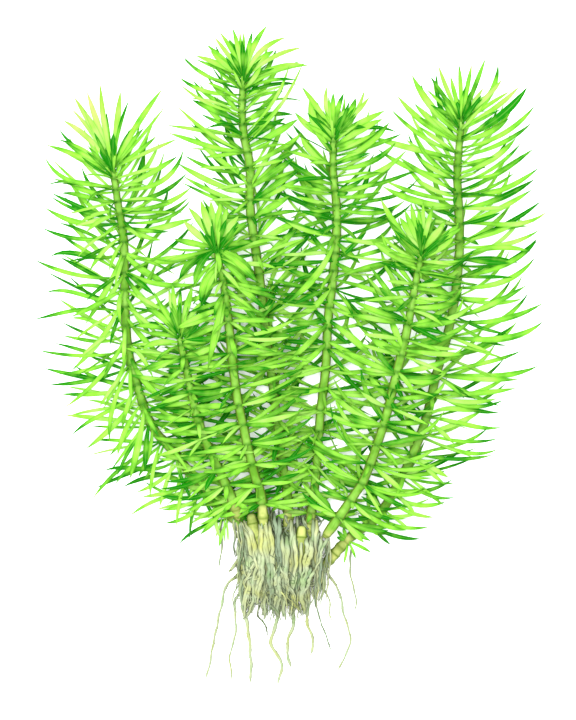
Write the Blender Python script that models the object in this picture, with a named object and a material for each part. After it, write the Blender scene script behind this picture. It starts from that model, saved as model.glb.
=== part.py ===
"""A rooted clump of Pogostemon deccanensis, lifted out and laid down on a flat surface.

Seven leafy stems fan out from one knot of roots. +Y runs from the roots to the shoot tips,
+Z points up, and the surface is at Z = 0.
"""

import math

import bmesh
import bpy

MM = 0.001
GAP = 0.3

# Growth of a stem: joints stand close together at the tip and further apart below it.
FIRST_INTERNODE = 2.6
LAST_INTERNODE = 5.2
INTERNODE_GROWTH = 0.28

TIP_RADIUS = 0.6
STEM_RADIUS = 1.0
FOOT_RADIUS = 1.3
TIP_TAPER_LENGTH = 22.0
FOOT_SWELL_LENGTH = 13.0
JOINT_SWELL = 1.12
INTERNODE_RADIUS_SHARE = 0.94

# A foliage solid is as wide as its leaves reach, and is cut off flat where it meets the surface.
WALL_STEP = 8.0
FOLIAGE_RISE = 15.0
LEAST_RISE = 4.0
RISE_TO_REACH = 1.1
UNDER_TO_RISE = 1.25
FLAT_SHARE = 0.8
TOP_POINTS = 7
CHANNEL_CLEARANCE = 0.75
CHANNEL_STEP = 7.0

ROOT_RADIUS = 0.32
ROOT_CHANNEL_RADIUS = 0.75
TANGLE_TOP_POINTS = 7

LEAF_GREEN = (0.19, 0.62, 0.03)
YOUNG_GREEN = (0.38, 0.72, 0.08)
STEM_GREEN = (0.24, 0.45, 0.06)
STRAW = (0.72, 0.70, 0.32)
ROOT_WHITE = (0.62, 0.63, 0.48)

# Each stem's route, in millimetres, from the base of its shoot tip down to its foot. "tip" is
# the middle of its topmost leaves. "outline" gives, from the top down, a height and how far the
# leaves reach to the left and to the right of the stem there.
STEMS = {
    "left": {
        "tip": (-45.5, 67.5, 9.5),
        "route": [
            (-44.4, 48.0, 9.5), (-43.2, 39.5, 9.5), (-41.8, 30.9, 9.5), (-41.5, 21.4, 9.5),
            (-41.3, 11.4, 9.5), (-40.4, 1.5, 9.5), (-37.9, -8.0, 9.0), (-34.3, -17.1, 9.0),
            (-28.0, -24.5, 8.5), (-21.5, -33.5, 7.5), (-16.8, -37.8, 7.0), (-12.3, -41.8, 6.5),
            (-9.3, -47.3, 6.0),
        ],
        "outline": [
            (67.5, 4, 5), (64.0, 7, 11), (58.0, 12, 14), (48.0, 15.5, 17), (38.0, 18, 18),
            (24.0, 22, 18), (9.0, 22.5, 17), (-3.0, 21, 16), (-20.0, 18, 14), (-31.0, 19, 10),
            (-38.0, 19, 1), (-41.0, 16, -8),
        ],
    },
    "tall": {
        "tip": (-11.0, 82.5, 9.5),
        "route": [
            (-11.6, 70.5, 9.5), (-12.1, 63.5, 9.5), (-11.5, 56.3, 9.5), (-10.0, 48.0, 9.5),
            (-10.0, 38.3, 9.5), (-8.5, 26.8, 9.5), (-7.3, 18.3, 9.5), (-6.1, 7.3, 9.5),
            (-4.3, -6.3, 9.0), (-2.3, -22.8, 8.5), (-0.6, -35.0, 7.5), (-0.5, -44.5, 7.0),
        ],
        "outline": [
            (82.5, 3, 6), (78.0, 8, 11), (72.0, 13, 14), (64.0, 16, 16.5), (40.0, 17.5, 18),
            (0.0, 17, 17), (-36.0, 12, 12),
        ],
    },
    "front_left": {
        "tip": (-19.5, 38.8, 18.5),
        "route": [
            (-18.3, 27.8, 18.5), (-16.0, 16.0, 18.0), (-14.9, 5.9, 18.0), (-13.4, -7.5, 17.5),
            (-11.4, -17.5, 17.0), (-8.9, -28.3, 15.5), (-7.3, -33.3, 14.5), (-6.5, -42.0, 13.0),
        ],
        "outline": [
            (38.8, 4, 5), (35.0, 8, 8), (28.0, 13, 12), (20.0, 16, 15), (0.0, 16, 15),
            (-35.0, 12, 12),
        ],
    },
    "middle": {
        "tip": (12.5, 68.0, 10.0),
        "route": [
            (11.0, 57.3, 10.0), (10.8, 48.0, 10.0), (11.7, 37.5, 10.0), (11.5, 29.0, 10.0),
            (10.7, 19.9, 10.0), (9.5, 9.5, 10.0), (9.0, -1.5, 9.5), (7.6, -13.8, 9.0),
            (6.9, -24.5, 8.5), (6.3, -31.0, 8.0), (5.3, -38.8, 7.5), (4.5, -46.0, 7.0),
        ],
        "outline": [
            (68.0, 3, 7), (62.0, 8.5, 15), (52.0, 11, 18), (40.0, 17, 18), (0.0, 17, 17),
            (-37.0, 12, 12),
        ],
    },
    "right": {
        "tip": (45.5, 74.5, 9.5),
        "route": [
            (43.0, 60.3, 9.5), (42.0, 47.4, 9.5), (42.3, 38.1, 9.5), (42.5, 27.6, 9.5),
            (41.3, 15.5, 9.5), (39.3, 5.5, 9.5), (36.8, -3.4, 9.0), (34.2, -14.4, 9.0),
            (31.3, -22.5, 8.5), (27.3, -30.8, 7.5), (22.3, -39.3, 6.5), (18.5, -42.3, 6.0),
            (14.3, -45.5, 5.5), (8.1, -52.6, 5.0),
        ],
        "outline": [
            (74.5, 5, 8), (68.0, 15, 12.5), (60.0, 17.5, 17), (45.0, 18.5, 20.5), (37.0, 18, 21.5),
            (9.0, 18, 22.5), (-3.0, 17, 24), (-14.0, 16, 19), (-23.0, 14, 19.5), (-30.0, 12, 17),
            (-38.0, 8, 16), (-44.0, 1.5, 14), (-47.5, -7, 13),
        ],
    },
    "front_right": {
        "tip": (32.5, 40.5, 18.5),
        "route": [
            (32.7, 27.0, 18.5), (30.9, 17.8, 18.5), (29.1, 8.0, 18.5), (26.3, -3.9, 18.0),
            (23.3, -15.8, 17.5), (18.9, -28.6, 16.0), (16.0, -33.6, 15.0), (11.8, -39.8, 14.0),
            (8.5, -44.4, 13.0),
        ],
        "outline": [
            (40.5, 4, 4), (34.0, 9, 9), (27.0, 14, 14), (15.0, 17, 17), (-15.0, 16, 16),
            (-37.0, 9, 12),
        ],
    },
    "short": {
        "tip": (-28.0, 18.0, 17.5),
        "route": [
            (-27.6, 6.3, 17.5), (-26.3, 0.5, 17.5), (-24.8, -6.8, 17.0), (-23.1, -14.0, 16.5),
            (-20.5, -21.3, 16.0), (-17.0, -28.8, 15.0), (-13.8, -36.3, 14.0), (-12.9, -40.0, 13.5),
        ],
        "outline": [
            (18.0, 4, 4), (13.0, 8, 8), (6.0, 12, 12), (-10.0, 13, 13), (-33.0, 9, 9),
        ],
    },
}

# Bare feet of stems that have died back, inside the knot of roots.
OLD_FEET = [
    [(-9.8, -38.5, 10.0), (-9.0, -42.5, 10.0), (-7.6, -46.5, 9.5)],
    [(-5.2, -39.5, 4.0), (-4.9, -44.0, 4.0), (-4.6, -48.5, 4.0)],
    [(3.0, -41.5, 12.0), (2.7, -46.0, 12.0), (2.3, -50.5, 11.0)],
]

# Height, left and right edge and thickness of the knot of roots.
TANGLE = [
    (-40.5, -11.0, 7.5, 14.0), (-46.0, -13.3, 10.0, 15.5), (-54.0, -13.5, 11.5, 13.0),
    (-60.0, -11.8, 8.5, 9.0), (-65.0, -8.8, 6.8, 4.0),
]

# Long roots lying along the surface, from the knot outwards.
LONG_ROOTS = [
    [(-10.0, -53.0), (-13.5, -55.0), (-16.5, -57.5), (-17.3, -62.5), (-19.3, -70.3), (-20.0, -76.0)],
    [(-9.5, -56.5), (-13.3, -60.0), (-13.9, -64.0), (-14.0, -70.3), (-15.3, -76.0), (-14.8, -81.6)],
    [(-8.5, -58.5), (-11.3, -64.5), (-10.8, -69.5), (-10.0, -75.3), (-10.0, -82.0)],
    [(-6.5, -60.5), (-6.7, -66.0), (-5.8, -71.3)],
    [(-3.0, -61.0), (-4.3, -68.8), (-4.3, -73.3), (-2.5, -76.3), (-2.3, -79.0), (-3.0, -82.5)],
    [(0.2, -61.0), (0.8, -66.8), (-0.5, -70.3), (-0.1, -78.3)],
    [(4.0, -61.0), (5.0, -67.0), (5.8, -70.5), (5.0, -74.5)],
    [(6.0, -58.5), (8.0, -66.8), (9.8, -73.5)],
    [(9.0, -53.0), (12.6, -59.5), (13.8, -65.5), (15.0, -70.5), (14.5, -74.0), (12.0, -78.6)],
    [(7.0, -56.5), (9.6, -60.5), (10.8, -65.0)],
    [(15.6, -47.8), (15.2, -51.5), (15.8, -56.0), (16.6, -60.5)],
    [(-17.2, -40.8), (-17.8, -43.5), (-17.3, -46.5), (-17.8, -53.0)],
    [(-11.0, -48.5), (-13.8, -51.2), (-15.6, -54.0)],
]


def between(low, high, share):
    """The value a given share of the way from low to high."""
    return low + (high - low) * share


def at_height(rows, y):
    """Each further column of rows at height y, where the first column falls down the list."""
    rows = sorted(rows, reverse=True)
    if y >= rows[0][0]:
        return rows[0][1:]
    for upper, lower in zip(rows, rows[1:]):
        if y >= lower[0]:
            share = (upper[0] - y) / (upper[0] - lower[0])
            return tuple(between(a, b, share) for a, b in zip(upper[1:], lower[1:]))
    return rows[-1][1:]


def lengths_along(points):
    """The distance along a route to each of its points."""
    total = 0.0
    lengths = [total]
    for a, b in zip(points, points[1:]):
        total += math.dist(a, b)
        lengths.append(total)
    return lengths


def eased(points, steps=6):
    """A smooth route through the points."""
    ends = [points[0], *points, points[-1]]
    route = []
    for before, a, b, after in zip(ends, ends[1:], ends[2:], ends[3:]):
        for step in range(steps):
            t = step / steps
            route.append(tuple(
                0.5 * (2 * q + (r - p) * t + (2 * p - 5 * q + 4 * r - s) * t ** 2
                       + (3 * q - p - 3 * r + s) * t ** 3)
                for p, q, r, s in zip(before, a, b, after)
            ))
    route.append(tuple(points[-1]))
    return route


def point_at(route, lengths, distance):
    """The point a given distance along a route."""
    for a, b, start, end in zip(route, route[1:], lengths, lengths[1:]):
        if distance <= end:
            share = (distance - start) / (end - start)
            return tuple(between(p, q, share) for p, q in zip(a, b))
    return route[-1]


def joint_distances(total):
    """The distances from the shoot tip of a stem's joints."""
    distances = []
    distance = 0.0
    step = FIRST_INTERNODE
    while distance + step < total - 1.0:
        distance += step
        distances.append(distance)
        step = min(LAST_INTERNODE, step + INTERNODE_GROWTH)
    return distances


def stem_radius(distance, total):
    """A stem's radius between its joints: slim at the tip, swollen at the foot."""
    radius = between(TIP_RADIUS, STEM_RADIUS, min(1.0, distance / TIP_TAPER_LENGTH))
    foot = max(0.0, 1.0 - (total - distance) / FOOT_SWELL_LENGTH)
    return between(radius, FOOT_RADIUS, foot)


def paint(item, name, colour, roughness):
    """Give an object its own plain material."""
    material = bpy.data.materials.new(name)
    material.use_nodes = True
    shader = material.node_tree.nodes["Principled BSDF"]
    shader.inputs["Base Color"].default_value = (*colour, 1.0)
    shader.inputs["Roughness"].default_value = roughness
    shader.inputs["Metallic"].default_value = 0.0
    item.data.materials.clear()
    item.data.materials.append(material)


def tube(name, points, radii, collection, sides=6):
    """A closed tube through points, in millimetres, with a radius at each one."""
    curve = bpy.data.curves.new(name, "CURVE")
    curve.dimensions = "3D"
    curve.bevel_depth = MM
    curve.bevel_resolution = (sides - 4) // 2
    curve.use_fill_caps = True
    spline = curve.splines.new("POLY")
    spline.points.add(len(points) - 1)
    for spot, place, radius in zip(spline.points, points, radii):
        spot.co = (place[0] * MM, place[1] * MM, place[2] * MM, 1.0)
        spot.radius = radius
    draft = bpy.data.objects.new(name + "_curve", curve)
    collection.objects.link(draft)
    bpy.context.view_layer.update()
    mesh = bpy.data.meshes.new_from_object(draft)
    bpy.data.objects.remove(draft)
    bpy.data.curves.remove(curve)
    editor = bmesh.new()
    editor.from_mesh(mesh)
    bmesh.ops.remove_doubles(editor, verts=editor.verts, dist=0.00001)
    editor.to_mesh(mesh)
    editor.free()
    item = bpy.data.objects.new(name, mesh)
    collection.objects.link(item)
    return item


def loft(name, rings, collection):
    """A closed solid through rings of points, in millimetres, that differ in shape."""
    editor = bmesh.new()
    loops = []
    for ring in rings:
        loops.append([editor.verts.new((x * MM, y * MM, z * MM)) for x, y, z in ring])
    for upper, lower in zip(loops, loops[1:]):
        for i in range(len(upper)):
            editor.faces.new((upper[i - 1], upper[i], lower[i], lower[i - 1]))
    editor.faces.new(loops[0])
    editor.faces.new(loops[-1])
    bmesh.ops.recalc_face_normals(editor, faces=editor.faces)
    mesh = bpy.data.meshes.new(name)
    editor.to_mesh(mesh)
    editor.free()
    item = bpy.data.objects.new(name, mesh)
    collection.objects.link(item)
    return item


def cut_out(item, cutters):
    """Take the cutters' shapes out of a solid."""
    for cutter in cutters:
        cut = item.modifiers.new("cut", "BOOLEAN")
        cut.operation = "DIFFERENCE"
        cut.solver = "EXACT"
        cut.object = cutter


def make_stem(name, route, collection):
    """One stem, with a slight swelling at each joint."""
    lengths = lengths_along(route)
    total = lengths[-1]
    distances = [GAP]
    radii = [TIP_RADIUS]
    for joint in joint_distances(total):
        middle = (distances[-1] + joint) / 2
        distances += [middle, joint]
        radius = stem_radius(middle, total)
        radii += [radius * INTERNODE_RADIUS_SHARE, stem_radius(joint, total) * JOINT_SWELL]
    distances.append(total)
    radii.append(FOOT_RADIUS * INTERNODE_RADIUS_SHARE)
    points = [point_at(route, lengths, distance) for distance in distances]
    item = tube(name, points, radii, collection)
    paint(item, name, STEM_GREEN, 0.55)
    return item


def make_channel(name, route, radius, step, collection):
    """A cutter that follows a route a little wider than what lies along it."""
    lengths = lengths_along(route)
    count = max(2, round(lengths[-1] / step))
    points = [point_at(route, lengths, lengths[-1] * i / count) for i in range(count + 1)]
    points = [beyond(points[0], points[1]), *points[1:-1], beyond(points[-1], points[-2])]
    return tube(name, points, [radius] * len(points), collection)


def beyond(end, inner):
    """A place a little past the end of a route, so that the cut runs out past the piece."""
    length = math.dist(end, inner)
    return tuple(a + (a - b) / length * GAP * 3 for a, b in zip(end, inner))


def axis_at(stem, y):
    """Where a stem's axis is at height y: its side-to-side place and its height off the surface."""
    rows = [(p[1], p[0], p[2]) for p in [stem["tip"], *stem["smooth"]]]
    return at_height(rows, y)


def covers(stem, knot):
    """True if a stem's foliage comes within one step of this height."""
    top = stem["outline"][0][0]
    bottom = stem["outline"][-1][0]
    return bottom - WALL_STEP < knot < top + WALL_STEP


def walls_beside(name, y):
    """How far foliage may spread at height y before it meets a neighbour's, left and right."""
    upper = math.ceil(y / WALL_STEP) * WALL_STEP
    sides = []
    for knot in (upper, upper - WALL_STEP):
        here = sorted(
            (axis_at(stem, knot)[0], other) for other, stem in STEMS.items() if covers(stem, knot)
        )
        place = next(i for i, (_, other) in enumerate(here) if other == name)
        own = here[place][0]
        left = (here[place - 1][0] + own) / 2 if place else own - 100
        right = (here[place + 1][0] + own) / 2 if place + 1 < len(here) else own + 100
        sides.append((left, right))
    share = (upper - y) / WALL_STEP
    left, right = (between(a, b, share) for a, b in zip(*sides))
    return left + GAP / 2, right - GAP / 2


def foliage_ring(name, stem, y, placed_y):
    """The outline across one stem's leaves at one height."""
    middle, height = axis_at(stem, y)
    reach_left, reach_right = at_height(stem["outline"], y)
    wall_left, wall_right = walls_beside(name, y)
    low = max(middle - reach_left, wall_left)
    high = min(middle + reach_right, wall_right)
    rise = RISE_TO_REACH * (reach_left + reach_right) / 2
    rise = min(FOLIAGE_RISE, max(LEAST_RISE, rise))
    floor = max(0.0, height - UNDER_TO_RISE * rise)
    widest = max(reach_left, reach_right, LEAST_RISE)
    ring = []
    for i in range(TOP_POINTS):
        share = (1 - math.cos(math.pi * i / (TOP_POINTS - 1))) / 2
        x = between(low, high, share)
        bow = math.sqrt(max(0.0, 1 - ((x - middle) / widest) ** 2))
        ring.append((x, placed_y, height + rise * bow))
    inset = (high - low) * (1 - FLAT_SHARE) / 2
    for share in (1.0, 0.5, 0.0):
        ring.append((between(low + inset, high - inset, share), placed_y, floor))
    return ring


def foliage_heights(stem, top, bottom):
    """The heights at which a stretch of foliage gets an outline, from the top down."""
    knots = [
        WALL_STEP * i for i in range(-20, 20)
        if bottom + 1.5 < WALL_STEP * i < top - 1.5
    ]
    shoulders = [row[0] for row in stem["outline"][1:3] if bottom + 1.5 < row[0] < top - 1.5]
    heights = sorted([*knots, *shoulders], reverse=True)
    kept = [top]
    for y in heights:
        if kept[-1] - y > 1.5:
            kept.append(y)
    return [*kept, bottom]


def make_foliage(name, owner, top, bottom, collection, trim_top=0.0, trim_bottom=0.0):
    """The space that a stretch of one stem's leaves takes up, flat where it lies down."""
    stem = STEMS[owner]
    heights = foliage_heights(stem, top, bottom)
    placed = [heights[0] - trim_top, *heights[1:-1], heights[-1] + trim_bottom]
    rings = [foliage_ring(owner, stem, y, p) for y, p in zip(heights, placed)]
    return loft(name, rings, collection)


def make_tangle(collection):
    """The knot of fine roots around the stems' feet."""
    rings = []
    for y, low, high, thick in TANGLE:
        ring = []
        for i in range(TANGLE_TOP_POINTS):
            angle = math.pi * i / (TANGLE_TOP_POINTS - 1)
            x = between(low, high, (1 - math.cos(angle)) / 2)
            ring.append((x, y, thick * (0.3 + 0.7 * math.sin(angle))))
        inset = (high - low) * (1 - FLAT_SHARE) / 2
        for share in (1.0, 0.5, 0.0):
            ring.append((between(low + inset, high - inset, share), y, 0.0))
        rings.append(ring)
    item = loft("root_tangle", rings, collection)
    paint(item, "root_tangle", ROOT_WHITE, 0.8)
    return item


def main():
    for old in list(bpy.data.objects):
        bpy.data.objects.remove(old)
    plant = bpy.data.collections.new("pogostemon_deccanensis")
    cutters = bpy.data.collections.new("cutters")
    for collection in (plant, cutters):
        bpy.context.scene.collection.children.link(collection)

    for stem in STEMS.values():
        stem["smooth"] = eased(stem["route"])

    in_tangle = []
    for name, stem in STEMS.items():
        make_stem(f"stem_{name}", stem["smooth"], plant)
        wide = FOOT_RADIUS * JOINT_SWELL + CHANNEL_CLEARANCE
        channel = make_channel(f"channel_{name}", stem["smooth"], wide, CHANNEL_STEP, cutters)
        in_tangle.append(channel)
        crown_base = stem["route"][0][1]
        top = stem["outline"][0][0]
        bottom = stem["outline"][-1][0]
        leaves = make_foliage(
            f"leaves_{name}", name, crown_base, bottom, plant, trim_top=GAP / 2
        )
        paint(leaves, f"leaves_{name}", LEAF_GREEN, 0.5)
        cut_out(leaves, [channel])
        shoot = make_foliage(
            f"shoot_tip_{name}", name, top, crown_base, plant, trim_bottom=GAP / 2
        )
        paint(shoot, f"shoot_tip_{name}", YOUNG_GREEN, 0.5)

    for number, route in enumerate(OLD_FEET, 1):
        name = f"old_foot_{number}"
        radii = [FOOT_RADIUS * share for share in (0.8, 1.0, 0.85)]
        item = tube(name, route, radii, plant)
        paint(item, name, STRAW, 0.6)
        channel = make_channel(f"channel_{name}", route, FOOT_RADIUS + CHANNEL_CLEARANCE, 3, cutters)
        in_tangle.append(channel)

    for number, route in enumerate(LONG_ROOTS, 1):
        name = f"long_root_{number:02d}"
        flat = [(x, y, ROOT_RADIUS) for x, y in route]
        smooth = eased(flat, 2)
        item = tube(name, smooth, [ROOT_RADIUS] * len(smooth), plant)
        paint(item, name, ROOT_WHITE, 0.7)
        in_tangle.append(make_channel(f"channel_{name}", eased(flat), ROOT_CHANNEL_RADIUS, 3, cutters))

    tangle = make_tangle(plant)
    cut_out(tangle, in_tangle)

    cutters.hide_render = True
    for item in cutters.objects:
        item.display_type = "WIRE"
        item.hide_render = True


main()
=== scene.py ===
"""A rooted clump of Pogostemon deccanensis, lifted out, laid on a pale table and seen from above.

Every leaf, stem and root starts as one straight blank and is bent along its own spine.
"""

import math

import bmesh
import bpy
import numpy as np
from bpy.props import FloatProperty, FloatVectorProperty, IntProperty, PointerProperty
from bpy.types import Operator, Panel, PropertyGroup
from mathutils import Matrix


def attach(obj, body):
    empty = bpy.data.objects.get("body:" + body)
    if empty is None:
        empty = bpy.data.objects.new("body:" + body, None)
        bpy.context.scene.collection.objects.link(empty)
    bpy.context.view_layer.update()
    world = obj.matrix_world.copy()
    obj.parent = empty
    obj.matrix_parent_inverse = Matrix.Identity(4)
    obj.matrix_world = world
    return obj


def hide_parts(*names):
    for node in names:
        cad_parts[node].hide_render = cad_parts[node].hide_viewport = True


bl_info = {
    "name": "Pogostemon Clump",
    "version": (1, 0, 0),
    "blender": (4, 5, 0),
    "location": "3D View > Sidebar > Plant",
    "description": "Leafy stems, roots and a table for a clump of Pogostemon deccanensis",
    "category": "Add Mesh",
}

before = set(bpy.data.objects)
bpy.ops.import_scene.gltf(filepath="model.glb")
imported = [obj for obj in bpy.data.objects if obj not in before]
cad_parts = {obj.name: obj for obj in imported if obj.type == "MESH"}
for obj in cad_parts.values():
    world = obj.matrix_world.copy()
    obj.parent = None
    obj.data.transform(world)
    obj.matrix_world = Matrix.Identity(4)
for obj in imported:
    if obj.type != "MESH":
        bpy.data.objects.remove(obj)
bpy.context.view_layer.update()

MM = 0.001
BODY = "root"
UP = np.array([0.0, 0.0, 1.0])
TURN = 2 * math.pi
# Keeps the directions round a piece apart where it stands upright.
OFF_UPRIGHT = 1e-4
LEAST_HEIGHT = 0.02 * MM
# Seeds of the random draws. Whorls and crowns add their stem's number to theirs.
WHORL_SEED = 100
CROWN_SEED = 200
ROOT_SEED = 7

# Lengths from here to the tables of rows are in millimetres, and a share is a part of one.

# A route's direction at a place is taken from this far before it to this far behind it.
HEADING_REACH = 0.4
ROUTE_SAMPLES = 400

# A stem's joints stand close together at its tip.
FIRST_INTERNODE = 2.6
LAST_INTERNODE = 5.2
INTERNODE_GROWTH = 0.2
LEAST_BELOW_JOINT = 1.0
TIP_TAPER_LENGTH = 22.0
FOOT_SWELL_LENGTH = 13.0
STEM_SIDES = 14
STEM_STEP = 0.45
JOINT_SWELLING = 0.15
JOINT_SWELLING_WIDTH = 0.6
JOINT_MARK_WIDTH = 0.45
STEM_TOP_ROUNDING = [0.7, 0.9]
STEM_FOOT_ROUNDING = [0.99, 0.96, 0.92, 0.86, 0.78, 0.66, 0.5, 0.25]
# The rings that fallen leaves have left on a foot.
FIRST_SCAR = 0.8
SCAR_SPACING = 2.1
SCAR_MARK_WIDTH = 0.3
PALE_FADE = 2.0

# A foot that has died back has two joints, at these shares of its length.
OLD_FOOT_JOINTS = [0.3, 0.72]
OLD_FOOT_RINGS = 28
OLD_FOOT_BULGE = 0.15
OLD_JOINT_SWELLING = 0.14
OLD_JOINT_SWELLING_WIDTH = 0.5
OLD_JOINT_MARK_WIDTH = 0.2
OLD_FOOT_TOP_ROUNDING = [0.6, 0.85, 0.95]
OLD_FOOT_END_ROUNDING = [0.95, 0.85, 0.6]

LEAF_STEPS = 11
LEAF_SIDES = 4
# How far a blade's two halves fold up from its midrib, and how much it faces its shoot tip.
LEAF_FOLD = 0.3
LEAF_FACING = 0.4
# A blade's outline: its share of its full width at its base and at its narrowest, and the shares
# of its length where it has filled out and where it starts to draw in to its point.
BASE_WIDTH = 0.4
LEAST_WIDTH = 0.09
FILLED_OUT = 0.62
DRAWN_IN = 0.52
FILLING_POWER = 1.25
DRAWING_POWER = 2.8
BASE_THICKNESS = 1.3
TIP_THICKNESS = 0.5
# The share of its roll that a blade has at its base.
BASE_ROLL = 0.6
# The share of a stem's radius at which its leaves start.
BASE_DEPTH = 0.7
# How fast a leaf's turn sets in on its way out.
ARCH_POWER = 1.4
# How often the knees of leaves that meet the table are eased.
KNEE_PASSES = 3

# Leaves in front of the stem and behind it are spread out towards its sides.
FRONT_REACH = 0.8
BACK_REACH = 0.3
# Beside a stretch whose side leaves are given, only leaves beyond these are grown.
BEHIND = -0.7
IN_FRONT = 0.62
# How sharply habits change from left to right, and with what power towards the viewer.
SIDE_CONTRAST = 2.5
VIEWER_POWER = 1.3
# Leaves that point at the viewer are shorter, and so are the lowest, from this share down.
FRONT_SHORTENING = 0.45
LOW_FROM = 0.85
LOW_SHORTENING = 0.15
LOW_FRONT_SHORTENING = 0.4
# Degrees by which a leaf behind the stem is lifted more.
BACK_LIFT = 24
# Leaves that rise steeper than this bend down more under their own weight.
STEEP = 0.2
STEEP_SAG = 0.55
SAG = 0.2
SAG_SPREAD = 0.2
# How much narrower the first leaves below a shoot tip are, and the least and greatest widths.
TOP_NARROWING = 0.15
WIDTH_LIMITS = (0.6, 1.3)
# How much leaves differ: in degrees, in radians for turn and roll, and otherwise as a share.
TURN_JITTER = 0.18
STEM_TURN = 0.5
LIFT_SPREAD = 6
ARCH_SPREAD = 10
LENGTH_SPREAD = 0.08
WIDTH_SPREAD = 0.15
SWAY_SPREAD = 0.12
ROLL_SPREAD = 0.5
READ_ROLL_SPREAD = 0.3
# A leaf's tone runs from nothing, the deepest green, to one, the palest.
MIDDLE_TONE = 0.57
TONE_SPREAD = 0.11
DEEP_TONES = (0.0, 0.22)
PALE_TONES = (0.64, 0.85)
PALE_ABOVE = 0.8
# The share of leaves that are deep, how much larger it is behind the stem, as painted shade, and how
# much larger lower down.
DEEP_SHARE = 0.16
PAINTED_SHADE_BEHIND = 0.14
MORE_DEEP_BELOW = 0.16
# How deep the painted shade at the bases of leaves is.
BASE_SHADES = (0.2, 1.0)
YOUNG_BASE_SHADES = (0.5, 1.0)

# The last of a leaf is too fine to see, so a leaf reaches this much further than it shows.
FINE_TIP = 1.03
# How high a leaf with given ends stands between them, as a share of its length.
BOWED_RISE = 0.3
# A leaf whose ends are given starts this share of the way in from the side of its stem.
HUG_STEM = 0.6
# Such a leaf is level at this tone, and rises as it is paler.
LEVEL_TONE = 0.35
RISE_WITH_TONE = 0.5
RISE_SPREAD = 0.1
# A leaf is wider than it shows, by as much as its fine edges, for a side row and for a crown row.
READ_WIDTH = 1.24
CROWN_WIDTH = 1.2
# A crown's darkest leaves point at the viewer, and the others rise or fall by a share.
DARK_BELOW = 0.2
DARK_RISE = 0.45
CROWN_RISES = (-0.25, 0.4)
CROWN_START = 0.5
# Small leaves at the heart of a shoot tip, beside those that its crown rows give.
CROWN_HEART = 20
HEART_TURN = 1.3
HEART_REACHES = (4.5, 8.5)
HEART_BOW_SPREAD = 0.3
HEART_WIDTHS = (0.5, 0.8)
HEART_TONES = (0.0, 0.6)
HEART_DEPTHS = (0, 3)

ROOT_SIDES = 7
ROOT_RINGS = 30
# The knot is rounded across its width, down to this share of its thickness squared.
KNOT_ROUNDNESS = 0.9
KNOT_EDGE = 0.06
# A whole turn and a quarter turn of a root's waves, rounded.
WAVE_TURN = 6.28
QUARTER_TURN = 1.57
# How a root's radius runs: how much it thins towards its tip and with what power of its length,
# the share that it starts with and how fast it fills out, and the share left at its very end.
STOUT_TAPER = (0.7, 2.5, 0.45, 5, 0.4)
FOOT_ROOT_TAPER = (0.75, 2, 0.5, 5, 0.3)
STRAND_TAPER = (0.78, 1.8, 0.6, 6, 0.3)
# Waves along the stout roots: each one's size, how often it takes the phase, and its rate.
STOUT_WANDER = [(0.2, 1, 13), (0.08, 3, 41)]
STOUT_LUMPS = [(0.08, 1, 17), (0.06, 2, 37)]
STOUT_ROOT_RINGS = 44
STOUT_ROOT_FLATNESS = 0.85
STOUT_SHIFT = 1.2
STOUT_HEIGHT_SPREAD = 0.35
# A stout root starts this share below its top height and has climbed there at this share.
STOUT_DIP = 0.3
STOUT_CLIMBED = 0.2
LEAST_STOUT_HEIGHT = 0.4
STOUT_TONE_SPREAD = 0.16
DARKEST_STOUT_TONE = 0.9
FIBRES_IN_ROOT = 2
# A fibre's share of its root's radius, and how much fibres differ.
FIBRE_RADIUS = 0.66
FIBRE_SIZES = (0.75, 1.2)

ROOTS_AT_FOOT = 8
# How far from the middle of its foot a root starts, and how far above and below the foot's end.
FOOT_ROOT_OFFSET = 1.25
FOOT_ROOT_STARTS = (-1.0, 1.6)
FOOT_ROOT_DROPS = (5.0, 14.0)
LOWEST_FOOT_ROOT = -63.0
FOOT_ROOT_SWAY = 0.3
FOOT_ROOT_WAVES = (5, 11)
FOOT_ROOT_RADII = (0.2, 0.42)
FOOT_ROOT_TONES = (0.0, 0.65)
LEAST_ROOT_HEIGHT = 0.3
# At their ends they have drawn in with their foot, spread from each other and strayed.
FOOT_ROOT_DRAWN_IN = 0.9
FOOT_ROOT_SPREAD = 1.4
FOOT_ROOT_STRAY = 0.7
# How high in the knot they end, and with what power of their length they sink there.
FOOT_ROOT_LEVELS = (0.5, 0.95)
FOOT_ROOT_SINKING = 1.3

# The strands have drawn together at this share of their length.
STRANDS_DRAWN = 0.8
# The shares of the knot's width where they start, and how near its middle the deepest are.
STRAND_SIDES = (0.03, 0.97)
DEEPEST_STRAND = 0.02
STRAND_WAVES = (0.7, 2.0)
# Their sway along their way, as a share of that across it, and its rate.
SWAY_ALONG = 0.4
SWAY_ALONG_RATE = 9
# Their level's share at the start, how much it gains, by what share, and how far it falls again.
STRAND_RISE = (0.42, 0.58, 0.35)
STRAND_FALL = 0.35
STRAND_LEVELS = (0.02, 1.14)
STRAND_LUMPS = 0.16
STRAND_LUMP_RATE = 21
# How much of a strand's tone is painted shade from its depth in the knot, and how much comes from
# chance.
PAINTED_SHADE_FROM_DEPTH = 0.7
TONE_FROM_CHANCE = 0.3

LONG_ROOT_STOUTNESS = 1.1
LONG_ROOT_THINNING = 0.3
LONG_ROOT_STEP = 0.5
LONG_ROOT_LEAST_RINGS = 24
LONG_ROOT_TOP_ROUNDING = [0.7]
LONG_ROOT_END_ROUNDING = [0.8, 0.55, 0.25]
LEAST_TRAILING_HEIGHT = 0.08
# A long root's kinks: their size, and the lengths of the wide ones, the tight ones and its lumps.
KINK_SIZE = 0.17
WIDE_KINK = 1.9
TIGHT_KINK = 0.8
LUMP_LENGTH = 0.6
LUMP_SIZE = 0.12
SIDE_ROOT_RADIUS = 0.07
SIDE_ROOT_THINNING = 0.7
SIDE_ROOT_SPACING = 5
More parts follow.
